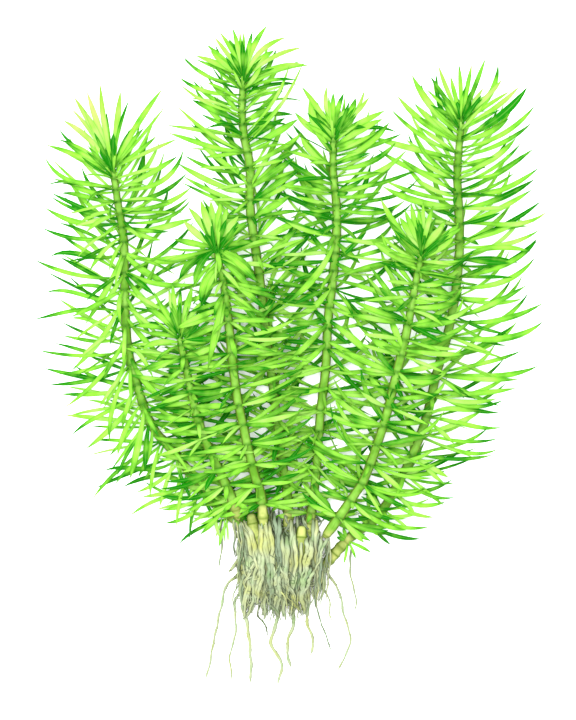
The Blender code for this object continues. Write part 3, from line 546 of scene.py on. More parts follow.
STEMS["middle"] = {
    "route": [
        (11.0, 57.3, 10.0), (10.8, 48.0, 10.0), (11.7, 37.5, 10.0), (11.5, 29.0, 10.0),
        (10.7, 19.9, 10.0), (9.5, 9.5, 10.0), (9.0, -1.5, 9.5), (7.6, -13.8, 9.0), (6.9, -24.5, 8.5),
        (6.3, -31.0, 8.0), (5.3, -38.8, 7.5), (4.5, -46.0, 7.0),
    ],
    "bare": 5.5,
    "pale": 6.5,
    "parting": 0.7,
    "habit": [
        (0.0, 36, 20, 24, 20, 30, -5, 15.5), (0.15, 24, 28, 6, 36, -3, -6, 18.0),
        (0.4, -4, 40, -14, 52, -12, -6, 20.0), (0.7, -12, 36, -16, 46, -14, -5, 19.5),
        (1.0, -14, 24, -14, 26, -9, -4, 15.5),
    ],
    "crown": [
        (-1.7, 11.1, 0.9, 1.1, 0.85, 0), (-0.2, 9.2, 0.1, 1.1, 0.4, 0), (2.4, 9.0, 0.4, 1.2, 0.3, 0),
        (2.7, 5.1, 0.2, 1.6, 0.9, 0), (5.3, 8.2, -1.0, 1.6, 0.5, 0), (8.7, 8.5, -0.6, 1.1, 0.8, 0),
        (12.4, 5.0, -0.3, 1.6, 0.5, 1), (11.7, 2.7, 0.2, 1.7, 0.6, 4), (13.4, 1.9, -1.4, 1.4, 0.55, 8),
        (-7.8, 10.5, 0.0, 1.2, 0.75, 0), (-5.8, 8.0, 1.4, 1.8, 0.7, 6), (-8.1, -0.8, 1.2, 1.3, 0.45, 9),
        (-3.0, 0.8, 0.1, 1.2, 0.05, 2), (-2.2, -3.0, 0.0, 1.1, 0.0, 5), (8.0, 0.8, 0.5, 1.2, 0.15, 1),
        (-4.0, 5.0, 0.4, 1.6, 0.6, 2), (5.0, 3.4, -0.2, 1.5, 0.6, 1), (-9.5, 4.5, 0.8, 1.4, 0.5, 3),
    ],
    "traced": 54.0,
    "sides": [
        (11.6, 55.0, 26.4, 57.0, 2.4, 2.9, 0.9, 0.1), (12.0, 52.0, 24.5, 59.3, -1.7, -1.7, 1.0, 0.2),
        (12.0, 51.0, 27.7, 56.6, -0.8, -1.0, 1.0, 0.3), (12.0, 47.8, 26.0, 54.2, -2.4, -3.0, 1.3, 0.35),
        (12.0, 44.3, 28.5, 52.1, -2.4, -3.0, 1.1, 0.6), (12.5, 34.5, 20.0, 48.5, -1.9, -1.9, 1.1, 0.1),
        (12.3, 44.0, 31.4, 47.5, -3.4, -1.4, 1.0, 0.1), (12.6, 37.8, 31.4, 45.0, 0.5, -4.5, 0.9, 0.15),
        (12.3, 41.0, 22.4, 42.0, -1.0, -1.0, 1.2, 0.4), (12.5, 37.5, 28.2, 39.8, -1.8, -3.6, 1.1, 0.35),
        (12.5, 30.0, 30.2, 39.2, 0.0, -3.0, 1.0, 0.15), (12.5, 34.6, 26.1, 38.0, -2.4, -3.0, 1.2, 0.0),
        (12.3, 34.0, 16.9, 29.6, 0.3, 0.5, 1.0, 0.3), (12.0, 24.8, 18.9, 31.8, -0.6, -0.2, 0.9, 0.2),
        (12.3, 29.8, 28.5, 31.3, -1.2, -1.4, 1.1, 0.4), (12.0, 29.5, 17.4, 24.4, -0.3, -0.3, 1.4, 0.45),
        (12.0, 24.9, 27.5, 29.8, -0.6, -1.4, 0.9, 0.25), (11.8, 24.3, 18.8, 20.0, 0.0, -0.3, 1.5, 0.4),
        (11.5, 20.0, 28.1, 24.6, 1.2, 1.0, 1.1, 0.35), (11.3, 20.0, 31.0, 12.9, 0.8, 1.0, 1.4, 0.5),
        (11.0, 15.0, 22.8, 15.8, -0.9, -0.4, 0.9, 0.05), (10.8, 14.9, 26.1, 9.2, -2.0, -0.8, 1.6, 0.5),
        (10.4, 9.8, 20.2, 1.2, 0.4, 0.3, 1.5, 0.55), (10.3, 4.5, 18.7, -1.2, 0.2, 0.2, 1.4, 0.5),
        (10.3, 4.6, 16.2, 4.7, -0.4, -0.2, 0.9, 0.15), (10.5, 9.9, 15.8, 11.1, -0.3, 0.0, 0.9, 0.3),
        (12.3, 36.2, 16.0, 38.5, -0.3, -0.3, 1.1, 0.1), (11.9, 41.5, 14.5, 41.9, 0.0, 0.0, 1.2, 0.1),
        (11.8, 48.3, 19.8, 51.3, -0.9, -0.7, 1.0, 0.55), (11.5, 53.5, 20.6, 55.6, -0.4, -0.2, 1.4, 0.5),
        (11.7, 20.5, 16.0, 21.2, 0.4, 0.3, 0.9, 0.1), (10.3, 48.4, 4.6, 54.5, 1.3, 1.1, 1.2, 0.1),
        (10.2, 44.4, 5.4, 48.8, 0.4, 0.5, 0.9, 0.0), (10.3, 43.8, -1.2, 50.3, 1.2, 0.6, 1.3, 0.3),
        (10.2, 44.2, 1.1, 46.3, 0.7, 0.5, 1.2, 0.5), (10.5, 41.6, 2.8, 46.0, 0.3, 0.3, 1.1, 0.2),
        (10.5, 41.5, -1.2, 43.3, 1.0, 0.6, 1.1, 0.45), (10.8, 37.8, 0.6, 42.5, 1.2, 0.9, 1.0, 0.05),
        (11.0, 35.5, 1.5, 39.9, 1.0, 0.5, 0.9, 0.1), (11.0, 37.5, 0.4, 35.5, -0.4, -0.4, 1.2, 0.4),
        (11.0, 36.3, 1.8, 32.9, 0.6, 0.2, 1.1, 0.4), (10.5, 36.0, -4.0, 42.7, 0.3, 0.2, 1.0, 0.05),
        (10.8, 31.0, -4.5, 36.3, 0.5, 0.8, 1.0, 0.05), (11.0, 34.3, -4.7, 31.2, 2.2, 1.2, 1.1, 0.2),
        (11.3, 33.8, 4.8, 30.1, 0.2, 0.2, 0.9, 0.25), (11.0, 30.3, -1.8, 25.4, 0.4, 1.2, 1.2, 0.15),
        (10.8, 29.8, -0.3, 14.8, 2.1, 2.1, 1.4, 0.65), (10.8, 24.9, -5.8, 24.0, 0.4, 0.5, 1.3, 0.05),
        (10.8, 24.3, 4.4, 32.7, 0.0, 0.3, 1.0, 0.15), (10.5, 19.8, -1.2, 23.3, 0.8, 0.9, 1.1, 0.3),
        (10.3, 19.8, -5.5, 19.0, 1.8, 1.0, 1.1, 0.0), (10.2, 14.9, 3.4, 18.7, 0.2, 0.2, 1.1, 0.1),
        (10.2, 19.4, -0.2, 10.3, 2.5, 2.3, 1.5, 0.6), (10.0, 14.7, -3.2, 15.5, 1.4, 1.0, 1.1, 0.02),
        (9.8, 9.2, 5.8, 12.5, 0.0, 0.0, 1.1, 0.15), (9.8, 9.9, -0.7, 9.6, 0.8, 0.8, 1.0, 0.3),
        (9.5, 9.4, -0.2, -0.2, 0.4, 0.5, 1.3, 0.6), (9.5, 4.6, -1.7, 4.9, 0.6, 0.4, 1.1, 0.02),
        (9.0, 4.2, 1.3, 7.9, 0.6, 0.4, 1.1, 0.1), (9.2, 4.3, 1.3, -2.2, 0.4, 0.4, 1.3, 0.5),
    ],
}
STEMS["right"] = {
    "route": [
        (43.0, 60.3, 9.5), (42.0, 47.4, 9.5), (42.3, 38.1, 9.5), (42.5, 27.6, 9.5), (41.3, 15.5, 9.5),
        (39.3, 5.5, 9.5), (36.8, -3.4, 9.0), (34.2, -14.4, 9.0), (31.3, -22.5, 8.5), (27.3, -30.8, 7.5),
        (22.3, -39.3, 6.5), (18.5, -42.3, 6.0), (14.3, -45.5, 5.5), (8.1, -52.6, 5.0),
    ],
    "bare": 12.0,
    "pale": 10.5,
    "parting": 1.0,
    "habit": [
        (0.0, 34, 26, 26, 34, 30, 0, 17.0), (0.15, 14, 34, 2, 46, 0, 0, 20.0),
        (0.4, 2, 36, -4, 46, -3, 0, 21.5), (0.62, 2, 24, -4, 42, -4, -2, 22.5),
        (0.8, 6, 16, 4, 34, -3, -2, 19.5), (1.0, 6, -5, 10, 16, -6, -2, 15.5),
    ],
    "crown": [
        (-0.5, 13.8, 0.0, 1.1, 0.6, 0), (2.5, 13.4, 0.1, 1.0, 0.6, 0), (5.6, 14.5, -0.2, 1.3, 0.35, 0),
        (9.2, 13.8, -2.4, 1.3, 0.25, 1), (9.9, 9.7, -0.5, 1.2, 0.7, 0), (5.5, 7.8, 0.0, 0.9, 0.85, 0),
        (5.8, 5.9, 0.0, 1.2, 0.5, 0), (-2.6, 10.7, 0.2, 1.0, 0.55, 0), (-5.8, 12.7, 0.5, 1.0, 0.55, 0),
        (-7.7, 10.5, 0.4, 1.2, 0.3, 0), (-8.6, 7.6, 0.5, 1.1, 0.75, 0),
        (-12.1, 10.7, 1.3, 1.6, 0.65, 4), (-15.5, 6.2, 1.6, 1.6, 0.65, 6),
        (-11.6, 3.6, 0.8, 1.4, 0.5, 5), (-1.2, 4.2, 0.0, 1.2, 0.0, 0), (2.2, 4.6, 0.0, 1.3, 0.0, 0),
        (11.8, 6.9, 0.0, 0.9, 0.45, 1), (15.4, 7.2, -1.7, 1.7, 0.1, 5), (14.0, 8.0, -1.0, 1.1, 0.7, 2),
        (-5.0, 5.0, 0.2, 1.4, 0.5, 1),
    ],
    "traced": 130.0,
    "sides": [
        (41.7, 51.8, 25.7, 62.6, 2.1, 2.1, 1.2, 0.5), (41.5, 50.5, 21.0, 55.8, 0.7, 0.7, 1.4, 0.6),
        (41.5, 46.0, 36.6, 52.0, 0.8, 0.8, 1.1, 0.3), (41.5, 46.2, 31.9, 54.6, 2.2, 2.2, 0.8, 0.6),
        (41.5, 45.5, 22.7, 52.6, 2.4, 2.4, 1.2, 0.45), (41.5, 42.3, 27.8, 50.4, 1.0, 1.0, 1.2, 0.5),
        (41.5, 41.0, 32.0, 45.2, 1.2, 1.2, 1.0, 0.6), (41.6, 40.0, 24.2, 44.6, 1.6, 1.6, 1.2, 0.5),
        (41.6, 38.5, 23.8, 43.1, 1.8, 1.8, 1.4, 0.55), (41.8, 38.2, 29.0, 41.1, 1.5, 1.5, 1.2, 0.5),
        (41.5, 35.5, 35.4, 37.9, -0.2, -0.2, 0.9, 0.15), (41.3, 33.0, 31.7, 40.7, 1.5, 1.5, 1.0, 0.3),
        (41.5, 31.8, 33.0, 33.4, 0.8, 1.0, 1.0, 0.15), (43.5, 53.0, 60.7, 63.3, -3.1, -3.1, 1.2, 0.5),
        (43.2, 51.0, 60.1, 59.2, -2.0, -2.0, 1.0, 0.35),
        (43.3, 44.3, 57.5, 54.1, -2.1, -2.1, 0.9, 0.35), (43.3, 42.5, 60.6, 52.7, -1.8, -1.0, 1.3, 0.3),
        (43.2, 41.3, 55.9, 46.8, -1.7, -1.7, 0.9, 0.25),
        (43.4, 41.0, 61.7, 47.9, -3.0, -2.6, 1.2, 0.45), (43.1, 38.0, 60.9, 45.2, -2.2, -1.4, 1.3, 0.1),
        (43.3, 34.0, 59.9, 42.3, -1.2, -1.2, 1.3, 0.5), (43.3, 34.3, 63.8, 37.1, -0.5, -4.8, 1.3, 0.6),
        (43.1, 50.2, 48.9, 48.3, -0.4, -0.4, 0.8, 0.1), (43.2, 46.6, 56.1, 55.2, -1.8, -1.8, 1.3, 0.55),
        (43.3, 48.3, 55.8, 54.6, -1.9, -1.7, 0.8, 0.3), (43.4, 55.3, 54.5, 60.5, -2.0, -1.6, 1.2, 0.3),
        (43.3, 28.2, 62.0, 32.5, -2.0, -2.8, 1.1, 0.6), (43.0, 25.5, 59.5, 27.0, 2.6, 2.0, 1.2, 0.45),
        (43.2, 28.3, 59.7, 33.5, 1.7, 1.7, 1.2, 0.45), (43.0, 24.8, 56.7, 24.5, 1.0, 0.8, 1.2, 0.1),
        (43.0, 23.7, 56.2, 24.9, -1.1, -1.3, 0.8, 0.05),
        (42.5, 20.5, 61.4, 29.8, -2.0, -3.8, 1.3, 0.45),
        (42.1, 18.0, 60.8, 25.4, -3.0, -4.2, 1.2, 0.45), (42.3, 20.0, 47.0, 19.0, -0.5, -0.5, 0.6, 0.1),
        (41.2, 10.3, 58.5, 18.4, -0.9, -1.0, 1.1, 0.45), (42.0, 15.0, 57.9, 15.4, -0.7, -1.8, 0.9, 0.5),
        (41.1, 9.6, 62.7, 14.1, -2.8, -2.8, 1.2, 0.4), (39.0, 0.7, 55.5, 8.5, -1.7, -1.7, 1.1, 0.2),
        (41.3, 9.6, 53.9, 3.8, -0.9, -1.8, 0.8, 0.3), (40.2, 5.5, 62.7, 9.5, -2.0, -4.6, 1.4, 0.45),
        (38.0, -3.5, 57.5, 2.2, 0.0, -1.4, 1.0, 0.45), (39.6, 4.0, 54.0, 0.2, 0.5, 0.0, 0.9, 0.55),
        (38.0, -3.8, 61.8, -1.6, -1.2, -3.0, 1.3, 0.4), (39.2, 0.3, 51.2, -4.7, 0.6, 0.2, 0.8, 0.35),
        (37.6, -4.0, 56.7, -4.9, -0.5, -0.5, 1.2, 0.55), (36.6, -8.0, 56.2, -7.1, -1.5, -0.9, 1.1, 0.5),
        (37.4, -4.5, 46.2, -9.7, 0.0, -0.3, 0.9, 0.15), (42.8, 30.8, 47.2, 28.9, 0.3, 0.3, 0.9, 0.15),
        (42.7, 24.0, 45.7, 21.6, 0.2, 0.2, 1.0, 0.1), (42.2, 16.0, 47.5, 10.6, -0.3, -0.3, 0.9, 0.5),
        (41.0, 27.8, 35.5, 24.5, -0.4, -0.2, 1.3, 0.3), (41.6, 24.2, 31.0, 22.8, -0.8, -0.8, 1.3, 0.45),
        (40.7, 19.7, 30.5, 17.6, -1.0, -0.6, 1.2, 0.4), (40.5, 19.9, 37.0, 21.7, 0.2, 0.2, 0.8, 0.15),
        (40.5, 15.3, 30.5, 13.6, 1.2, 1.4, 1.2, 0.45), (39.7, 10.3, 31.0, 12.2, 0.6, 0.6, 1.1, 0.2),
        (39.5, 9.6, 29.5, 8.8, 0.6, 0.4, 1.1, 0.5), (38.9, 5.6, 29.0, 3.4, 1.4, 1.8, 1.3, 0.4),
        (38.6, 5.4, 30.0, 8.4, 0.9, 0.7, 0.9, 0.25), (38.0, 0.4, 27.5, 2.4, 1.0, 0.7, 1.1, 0.45),
        (37.0, -3.8, 26.5, -2.6, 1.0, 1.2, 1.2, 0.4), (36.8, -4.2, 28.5, -5.6, 0.4, 0.8, 1.3, 0.25),
        (36.0, -8.4, 26.5, -6.8, 0.8, 0.9, 1.1, 0.4), (37.5, -8.2, 48.8, -9.9, 0.6, 0.6, 1.1, 0.2),
        (37.5, -8.6, 52.2, -13.1, -1.4, -1.8, 1.0, 0.15),
        (37.5, -8.6, 53.2, -10.0, -3.0, -3.4, 0.9, 0.35),
        (35.3, -14.0, 47.0, -12.8, 2.6, 0.4, 1.1, 0.5), (35.0, -14.5, 52.4, -16.8, 0.6, -2.0, 1.1, 0.5),
        (34.3, -18.2, 47.6, -13.1, -1.5, -0.8, 1.2, 0.62),
        (33.5, -18.8, 51.6, -19.5, -1.2, -2.4, 1.1, 0.35),
        (33.5, -19.8, 51.7, -22.2, -1.2, -4.0, 0.9, 0.4),
        (32.5, -24.0, 49.6, -17.1, -0.5, -2.8, 0.9, 0.3),
        (32.8, -24.0, 50.3, -23.9, -1.5, -1.5, 0.9, 0.2),
        (29.5, -29.4, 38.6, -28.0, -0.3, -0.3, 0.9, 0.3),
        (29.8, -29.8, 41.2, -30.9, -0.9, -0.9, 0.8, 0.25),
        (28.6, -30.2, 41.0, -34.2, -1.6, -2.8, 0.8, 0.35),
        (26.5, -33.6, 32.6, -32.7, -1.3, -1.5, 0.7, 0.35),
        (26.3, -34.2, 38.7, -35.6, -2.4, -2.2, 1.0, 0.5),
        (25.6, -35.6, 36.0, -39.4, -1.4, -1.3, 0.9, 0.45),
        (22.8, -38.9, 31.8, -38.6, -0.9, -0.9, 0.8, 0.5),
        (22.5, -39.3, 34.6, -42.0, -2.4, -1.6, 1.0, 0.5),
        (18.8, -42.6, 24.0, -43.8, -0.3, -0.2, 0.8, 0.4),
        (15.0, -46.0, 20.3, -48.4, 0.2, 0.2, 0.8, 0.5),
        (32.0, -24.5, 36.0, -25.0, -1.0, -1.0, 0.6, 0.5),
        (32.3, -24.6, 38.6, -31.0, -0.4, -0.2, 0.9, 0.65),
        (35.0, -15.5, 40.8, -20.8, 0.3, 0.2, 1.0, 0.65),
        (29.5, -28.8, 33.0, -27.5, -0.2, -0.2, 0.7, 0.6), (36.8, -8.2, 25.8, -9.5, 0.9, 0.7, 0.9, 0.2),
        (36.3, -9.0, 26.5, -14.0, 0.4, 0.2, 0.8, 0.1), (34.0, -14.8, 24.5, -15.5, 1.2, 1.3, 1.1, 0.3),
        (32.3, -19.2, 22.0, -21.3, 0.2, 0.4, 1.2, 0.3),
        (31.0, -23.8, 22.6, -22.6, -0.4, -0.3, 1.3, 0.15),
        (31.0, -24.2, 22.0, -24.5, 1.2, 1.3, 1.1, 0.4), (28.8, -29.4, 20.0, -28.6, 0.6, 0.4, 1.1, 0.35),
        (28.6, -29.6, 21.0, -31.5, 0.3, 0.3, 1.0, 0.3), (25.5, -33.6, 18.5, -33.8, 0.4, 0.3, 1.0, 0.2),
        (18.3, -42.0, 13.2, -39.2, 0.2, 0.2, 1.2, 0.3),
        (18.6, -42.2, 20.5, -37.5, -0.2, -0.2, 1.0, 0.3),
        (14.3, -45.3, 12.0, -43.0, 0.2, 0.2, 0.8, 0.3), (14.3, -45.3, 13.5, -42.3, 0.1, 0.1, 0.8, 0.25),
        (14.3, -45.2, 11.8, -44.6, 0.1, 0.1, 0.8, 0.35), (15.0, -46.3, 13.5, -51.3, 0.2, 0.2, 0.6, 0.5),
        (15.2, -46.4, 16.5, -50.0, 0.2, 0.2, 0.6, 0.5),
    ],
}
STEMS["front_right"] = {
    "route": [
        (32.7, 27.0, 18.5), (30.9, 17.8, 18.5), (29.1, 8.0, 18.5), (26.3, -3.9, 18.0),
        (23.3, -15.8, 17.5), (18.9, -28.6, 16.0), (16.0, -33.6, 15.0), (11.8, -39.8, 14.0),
        (8.5, -44.4, 13.0),
    ],
    "bare": 5.0,
    "pale": 1.5,
    "parting": 0.8,
    "habit": [
        (0.0, 20, 28, 20, 30, 10, -4, 15.0), (0.2, 2, 34, 2, 36, -4, -5, 18.0),
        (0.5, -12, 50, -8, 52, -6, -4, 19.0), (0.8, -8, 38, -6, 42, -6, -2, 18.0),
        (1.0, -8, 21, -8, 28, -8, -2, 14.0),
    ],
    "crown": [
        (-2.5, 11.5, 0.3, 1.3, 0.6, 0), (-4.2, 9.8, 0.2, 1.2, 0.65, 0), (-1.0, 10.0, 0.0, 1.1, 0.5, 0),
        (0.2, 11.7, 0.0, 1.0, 0.75, 0), (2.5, 10.7, 0.3, 1.2, 0.65, 0), (5.0, 6.0, 0.1, 1.5, 0.75, 0),
        (5.8, 7.5, -0.2, 1.4, 0.6, 0), (9.2, 6.5, -0.3, 1.5, 0.4, 0), (-8.2, 7.5, 0.5, 1.3, 0.6, 1),
        (-5.3, 8.0, 0.2, 1.7, 0.85, 0), (-9.9, 12.6, 0.9, 1.3, 0.55, 1), (-0.4, 6.5, 0.0, 1.1, 0.1, 0),
        (0.8, 5.0, 0.0, 1.0, 0.15, 0), (-12.0, 2.3, 0.9, 1.6, 0.6, 4), (-4.2, 4.0, 0.2, 1.5, 0.9, 0),
        (7.5, 3.0, -0.4, 1.5, 0.55, 2), (3.4, 8.2, 0.0, 1.0, 0.3, 0), (-6.4, 4.0, 0.4, 1.3, 0.25, 2),
    ],
    "traced": 50.0,
    "sides": [
        (31.6, 24.2, 20.1, 29.7, 1.1, 1.1, 1.5, 0.5), (31.5, 22.4, 25.0, 27.0, 0.5, 0.5, 1.3, 0.4),
        (31.3, 22.8, 24.8, 24.2, 0.2, 0.2, 1.1, 0.05), (31.7, 25.5, 24.2, 34.5, 0.3, 0.0, 0.9, 0.45),
        (31.9, 25.8, 28.0, 30.5, 0.2, 0.2, 0.9, 0.5), (28.8, 9.5, 20.1, 22.7, -0.2, -0.2, 1.1, 0.5),
        (31.0, 17.5, 23.7, 23.6, 0.3, 0.3, 0.9, 0.45), (31.2, 18.0, 25.9, 24.3, 0.3, 0.2, 1.0, 0.5),
        (31.0, 17.9, 24.7, 17.3, -0.2, -0.2, 1.0, 0.1), (30.4, 13.0, 22.3, 17.9, 0.7, 0.7, 1.6, 0.45),
        (29.0, 9.8, 16.0, 14.5, 0.7, 0.7, 1.2, 0.35), (28.8, 9.9, 22.2, 13.1, 0.3, 0.3, 1.0, 0.15),
        (28.8, 9.2, 14.8, 11.2, 0.6, 0.3, 1.5, 0.5), (32.4, 22.5, 42.2, 24.3, 0.2, -0.3, 1.1, 0.3),
        (32.4, 22.2, 43.2, 25.3, -0.6, -0.8, 1.1, 0.45), (32.3, 22.0, 40.7, 20.0, -0.4, -0.4, 1.2, 0.5),
        (32.8, 26.2, 41.2, 28.9, -0.2, -0.3, 1.1, 0.4), (33.0, 26.7, 42.2, 32.5, -0.3, 0.0, 1.1, 0.3),
        (31.8, 17.8, 41.2, 20.7, -0.3, -0.3, 1.1, 0.35), (31.8, 17.5, 40.7, 15.6, 0.4, 0.4, 1.5, 0.5),
        (31.0, 14.0, 41.3, 17.3, -1.3, -0.8, 1.1, 0.4), (31.2, 14.6, 40.0, 15.6, -0.4, -0.4, 1.2, 0.45),
        (30.8, 13.0, 41.3, 14.2, -0.9, -0.9, 1.3, 0.5), (30.6, 12.6, 39.2, 10.1, -0.4, -0.4, 1.1, 0.2),
        (29.6, 8.8, 37.7, 11.2, -0.7, -0.5, 1.1, 0.35), (29.6, 8.5, 41.0, 9.6, -0.6, -0.3, 1.2, 0.5),
        (29.6, 8.4, 38.5, 6.3, 0.2, 0.2, 1.0, 0.15), (27.5, 2.6, 20.2, 5.5, 0.9, 0.9, 1.6, 0.25),
        (27.5, 3.2, 22.7, 7.1, 0.8, 0.5, 1.4, 0.4), (27.8, 3.2, 24.7, 10.2, 0.2, 0.0, 1.4, 0.55),
        (26.2, -3.4, 21.2, 4.1, 0.9, 1.2, 1.1, 0.1), (26.2, -3.4, 13.2, 2.2, 0.5, 0.3, 1.5, 0.45),
        (26.0, -3.5, 17.0, -2.5, 0.4, 0.4, 1.2, 0.4), (24.5, -9.6, 19.8, -4.0, 0.6, 0.8, 1.6, 0.35),
        (23.0, -15.2, 17.7, -2.5, 1.4, 1.6, 1.0, 0.1), (23.2, -14.8, 19.5, -7.8, 0.7, 0.7, 1.5, 0.2),
        (22.8, -15.8, 15.0, -13.4, 0.7, 0.5, 1.0, 0.15), (22.8, -16.0, 14.5, -14.3, 0.9, 0.7, 1.1, 0.4),
        (22.5, -16.3, 16.5, -17.0, -0.3, -0.3, 1.0, 0.2), (28.8, 3.3, 41.2, 6.7, -1.0, -0.9, 1.1, 0.35),
        (28.6, 2.4, 42.7, 1.4, -0.5, -0.5, 1.2, 0.5), (27.5, -2.8, 38.7, 0.0, -1.0, -0.8, 1.2, 0.4),
        (27.0, -3.8, 37.2, -3.8, -1.2, -1.2, 1.3, 0.15),
        (26.9, -4.5, 36.5, -5.3, -0.9, -0.9, 1.3, 0.45),
        (26.6, -4.3, 28.1, -9.5, -0.8, -0.8, 1.1, 0.05), (25.3, -9.5, 36.7, -8.4, -0.6, -0.5, 1.1, 0.2),
        (25.0, -10.3, 28.2, -14.5, -0.3, -0.3, 1.2, 0.1),
        (24.8, -14.5, 36.2, -8.8, -0.5, -0.3, 1.1, 0.2),
        (23.6, -15.9, 33.2, -18.9, -0.3, -0.1, 1.2, 0.4),
        (23.8, -15.3, 33.5, -15.5, -0.4, -0.4, 1.1, 0.25),
        (22.0, -21.0, 34.0, -19.0, -0.5, 0.3, 1.1, 0.3),
    ],
}
STEMS["short"] = {
    "route": [
        (-27.6, 6.3, 17.5), (-26.3, 0.5, 17.5), (-24.8, -6.8, 17.0), (-23.1, -14.0, 16.5),
        (-20.5, -21.3, 16.0), (-17.0, -28.8, 15.0), (-13.8, -36.3, 14.0), (-12.9, -40.0, 13.5),
    ],
    "bare": 4.5,
    "pale": 4.0,
    "parting": 0.3,
    "habit": [
        (0.0, 5, -15, 8, -10, -3, -8, 14.0), (0.3, -10, 12, -4, 16, -9, -2, 15.5),
        (0.7, -16, 34, -12, 36, -6, -1, 15.5), (1.0, -18, 16, -18, 21, -9, -2, 14.5),
    ],
    "crown": [
        (-1.4, 12.4, 0.2, 1.1, 0.4, 0), (0.4, 11.0, 0.0, 1.0, 0.4, 0), (3.2, 11.6, -0.1, 1.4, 0.75, 0),
        (-2.4, 10.7, 0.0, 1.4, 0.9, 0), (-5.9, 10.3, 0.2, 0.9, 0.2, 0), (-7.9, 6.6, -0.5, 1.4, 0.4, 0),
        (7.6, 4.9, 0.1, 1.3, 0.65, 0), (5.5, 8.0, 0.0, 1.2, 0.8, 0), (8.4, 2.4, 0.2, 1.3, 0.65, 2),
        (-11.0, 2.0, -0.8, 1.2, 0.3, 0), (-7.9, 0.3, -0.3, 1.3, 0.4, 1), (-1.9, 5.5, 0.0, 1.4, 0.0, 0),
        (0.5, 7.8, 0.0, 1.2, 0.05, 0), (-4.2, 7.6, 0.1, 1.3, 0.45, 0), (6.8, -2.0, 0.6, 1.4, 0.6, 2),
        (-8.6, -3.4, -0.8, 1.4, 0.6, 2),
    ],
    "traced": 32.0,
    "sides": [
        (-27.0, 0.5, -36.5, 1.6, 0.6, 0.5, 1.3, 0.45), (-26.8, -0.3, -36.0, -2.2, -0.5, -0.5, 1.3, 0.5),
        (-26.5, -1.5, -35.3, -0.4, 0.5, 0.4, 0.7, 0.05),
        (-26.3, -2.7, -30.5, -2.6, 0.2, 0.2, 1.0, 0.02), (-25.8, -5.0, -34.5, -5.2, 0.5, 0.4, 1.3, 0.5),
        (-25.5, -6.5, -32.5, -9.0, -0.6, -0.4, 1.1, 0.15),
        (-25.2, -7.9, -29.8, -8.3, 0.2, 0.2, 1.0, 0.1),
        (-24.8, -10.5, -33.5, -11.0, 0.6, 0.4, 1.4, 0.45),
        (-24.5, -12.8, -29.8, -12.7, 0.3, 0.3, 0.9, 0.05),
        (-24.0, -15.0, -33.5, -14.0, 0.5, 0.4, 1.3, 0.5),
        (-23.5, -16.5, -27.9, -16.5, 0.3, 0.3, 0.9, 0.02),
        (-22.8, -18.5, -31.0, -17.5, 0.6, 0.5, 1.2, 0.45),
        (-22.0, -20.8, -26.5, -19.9, 0.2, 0.2, 0.9, 0.05),
        (-21.5, -23.3, -26.0, -23.4, 0.1, 0.1, 0.9, 0.02),
        (-20.8, -24.8, -27.0, -24.3, 0.4, 0.3, 1.1, 0.1),
        (-26.5, 2.5, -19.8, 4.6, -0.3, -0.3, 1.2, 0.15), (-26.2, 0.5, -18.5, 3.5, -0.4, -0.3, 1.3, 0.5),
        (-25.8, -2.5, -19.8, -1.4, -0.2, -0.2, 1.0, 0.02),
        (-25.5, -3.5, -17.3, 0.0, -0.5, -0.4, 1.2, 0.5),
        (-25.0, -6.0, -17.4, -2.7, -0.4, -0.3, 1.0, 0.1),
        (-24.8, -7.0, -15.5, -5.5, -0.5, -0.5, 1.3, 0.45),
        (-24.0, -10.3, -15.3, -7.8, -0.4, -0.4, 1.3, 0.25),
        (-23.8, -11.5, -15.5, -11.0, -0.4, -0.4, 1.3, 0.5),
        (-23.2, -14.5, -16.5, -11.8, -0.3, -0.3, 1.1, 0.3),
        (-22.5, -17.5, -13.0, -15.5, -0.5, -0.5, 1.3, 0.45),
        (-21.8, -19.8, -12.0, -19.0, -0.6, -0.4, 1.3, 0.2),
        (-21.0, -21.8, -11.5, -21.5, -0.6, -0.5, 1.3, 0.45),
        (-20.3, -23.8, -11.0, -24.5, -0.3, -0.3, 1.2, 0.4),
    ],
}

# The bare feet of stems that have died back, each from its top to its end.
OLD_FEET = [
    [(-9.8, -38.5, 10.0), (-9.0, -42.5, 10.0), (-7.6, -46.5, 9.5)],
    [(-5.2, -39.5, 4.0), (-4.9, -44.0, 4.0), (-4.6, -48.5, 4.0)],
    [(3.0, -41.5, 12.0), (2.7, -46.0, 12.0), (2.3, -50.5, 11.0)],
]

# Height, left and right edge and thickness of the knot of roots.
KNOT = [
    (-38.0, -9.5, 6.5, 12.0), (-40.5, -11.0, 7.5, 14.0), (-46.0, -13.3, 8.4, 15.5),
    (-54.0, -13.5, 8.0, 13.0), (-60.0, -12.6, 7.6, 9.0), (-65.0, -10.8, 6.8, 4.0),
    (-70.0, -8.8, 6.8, 1.2),
]

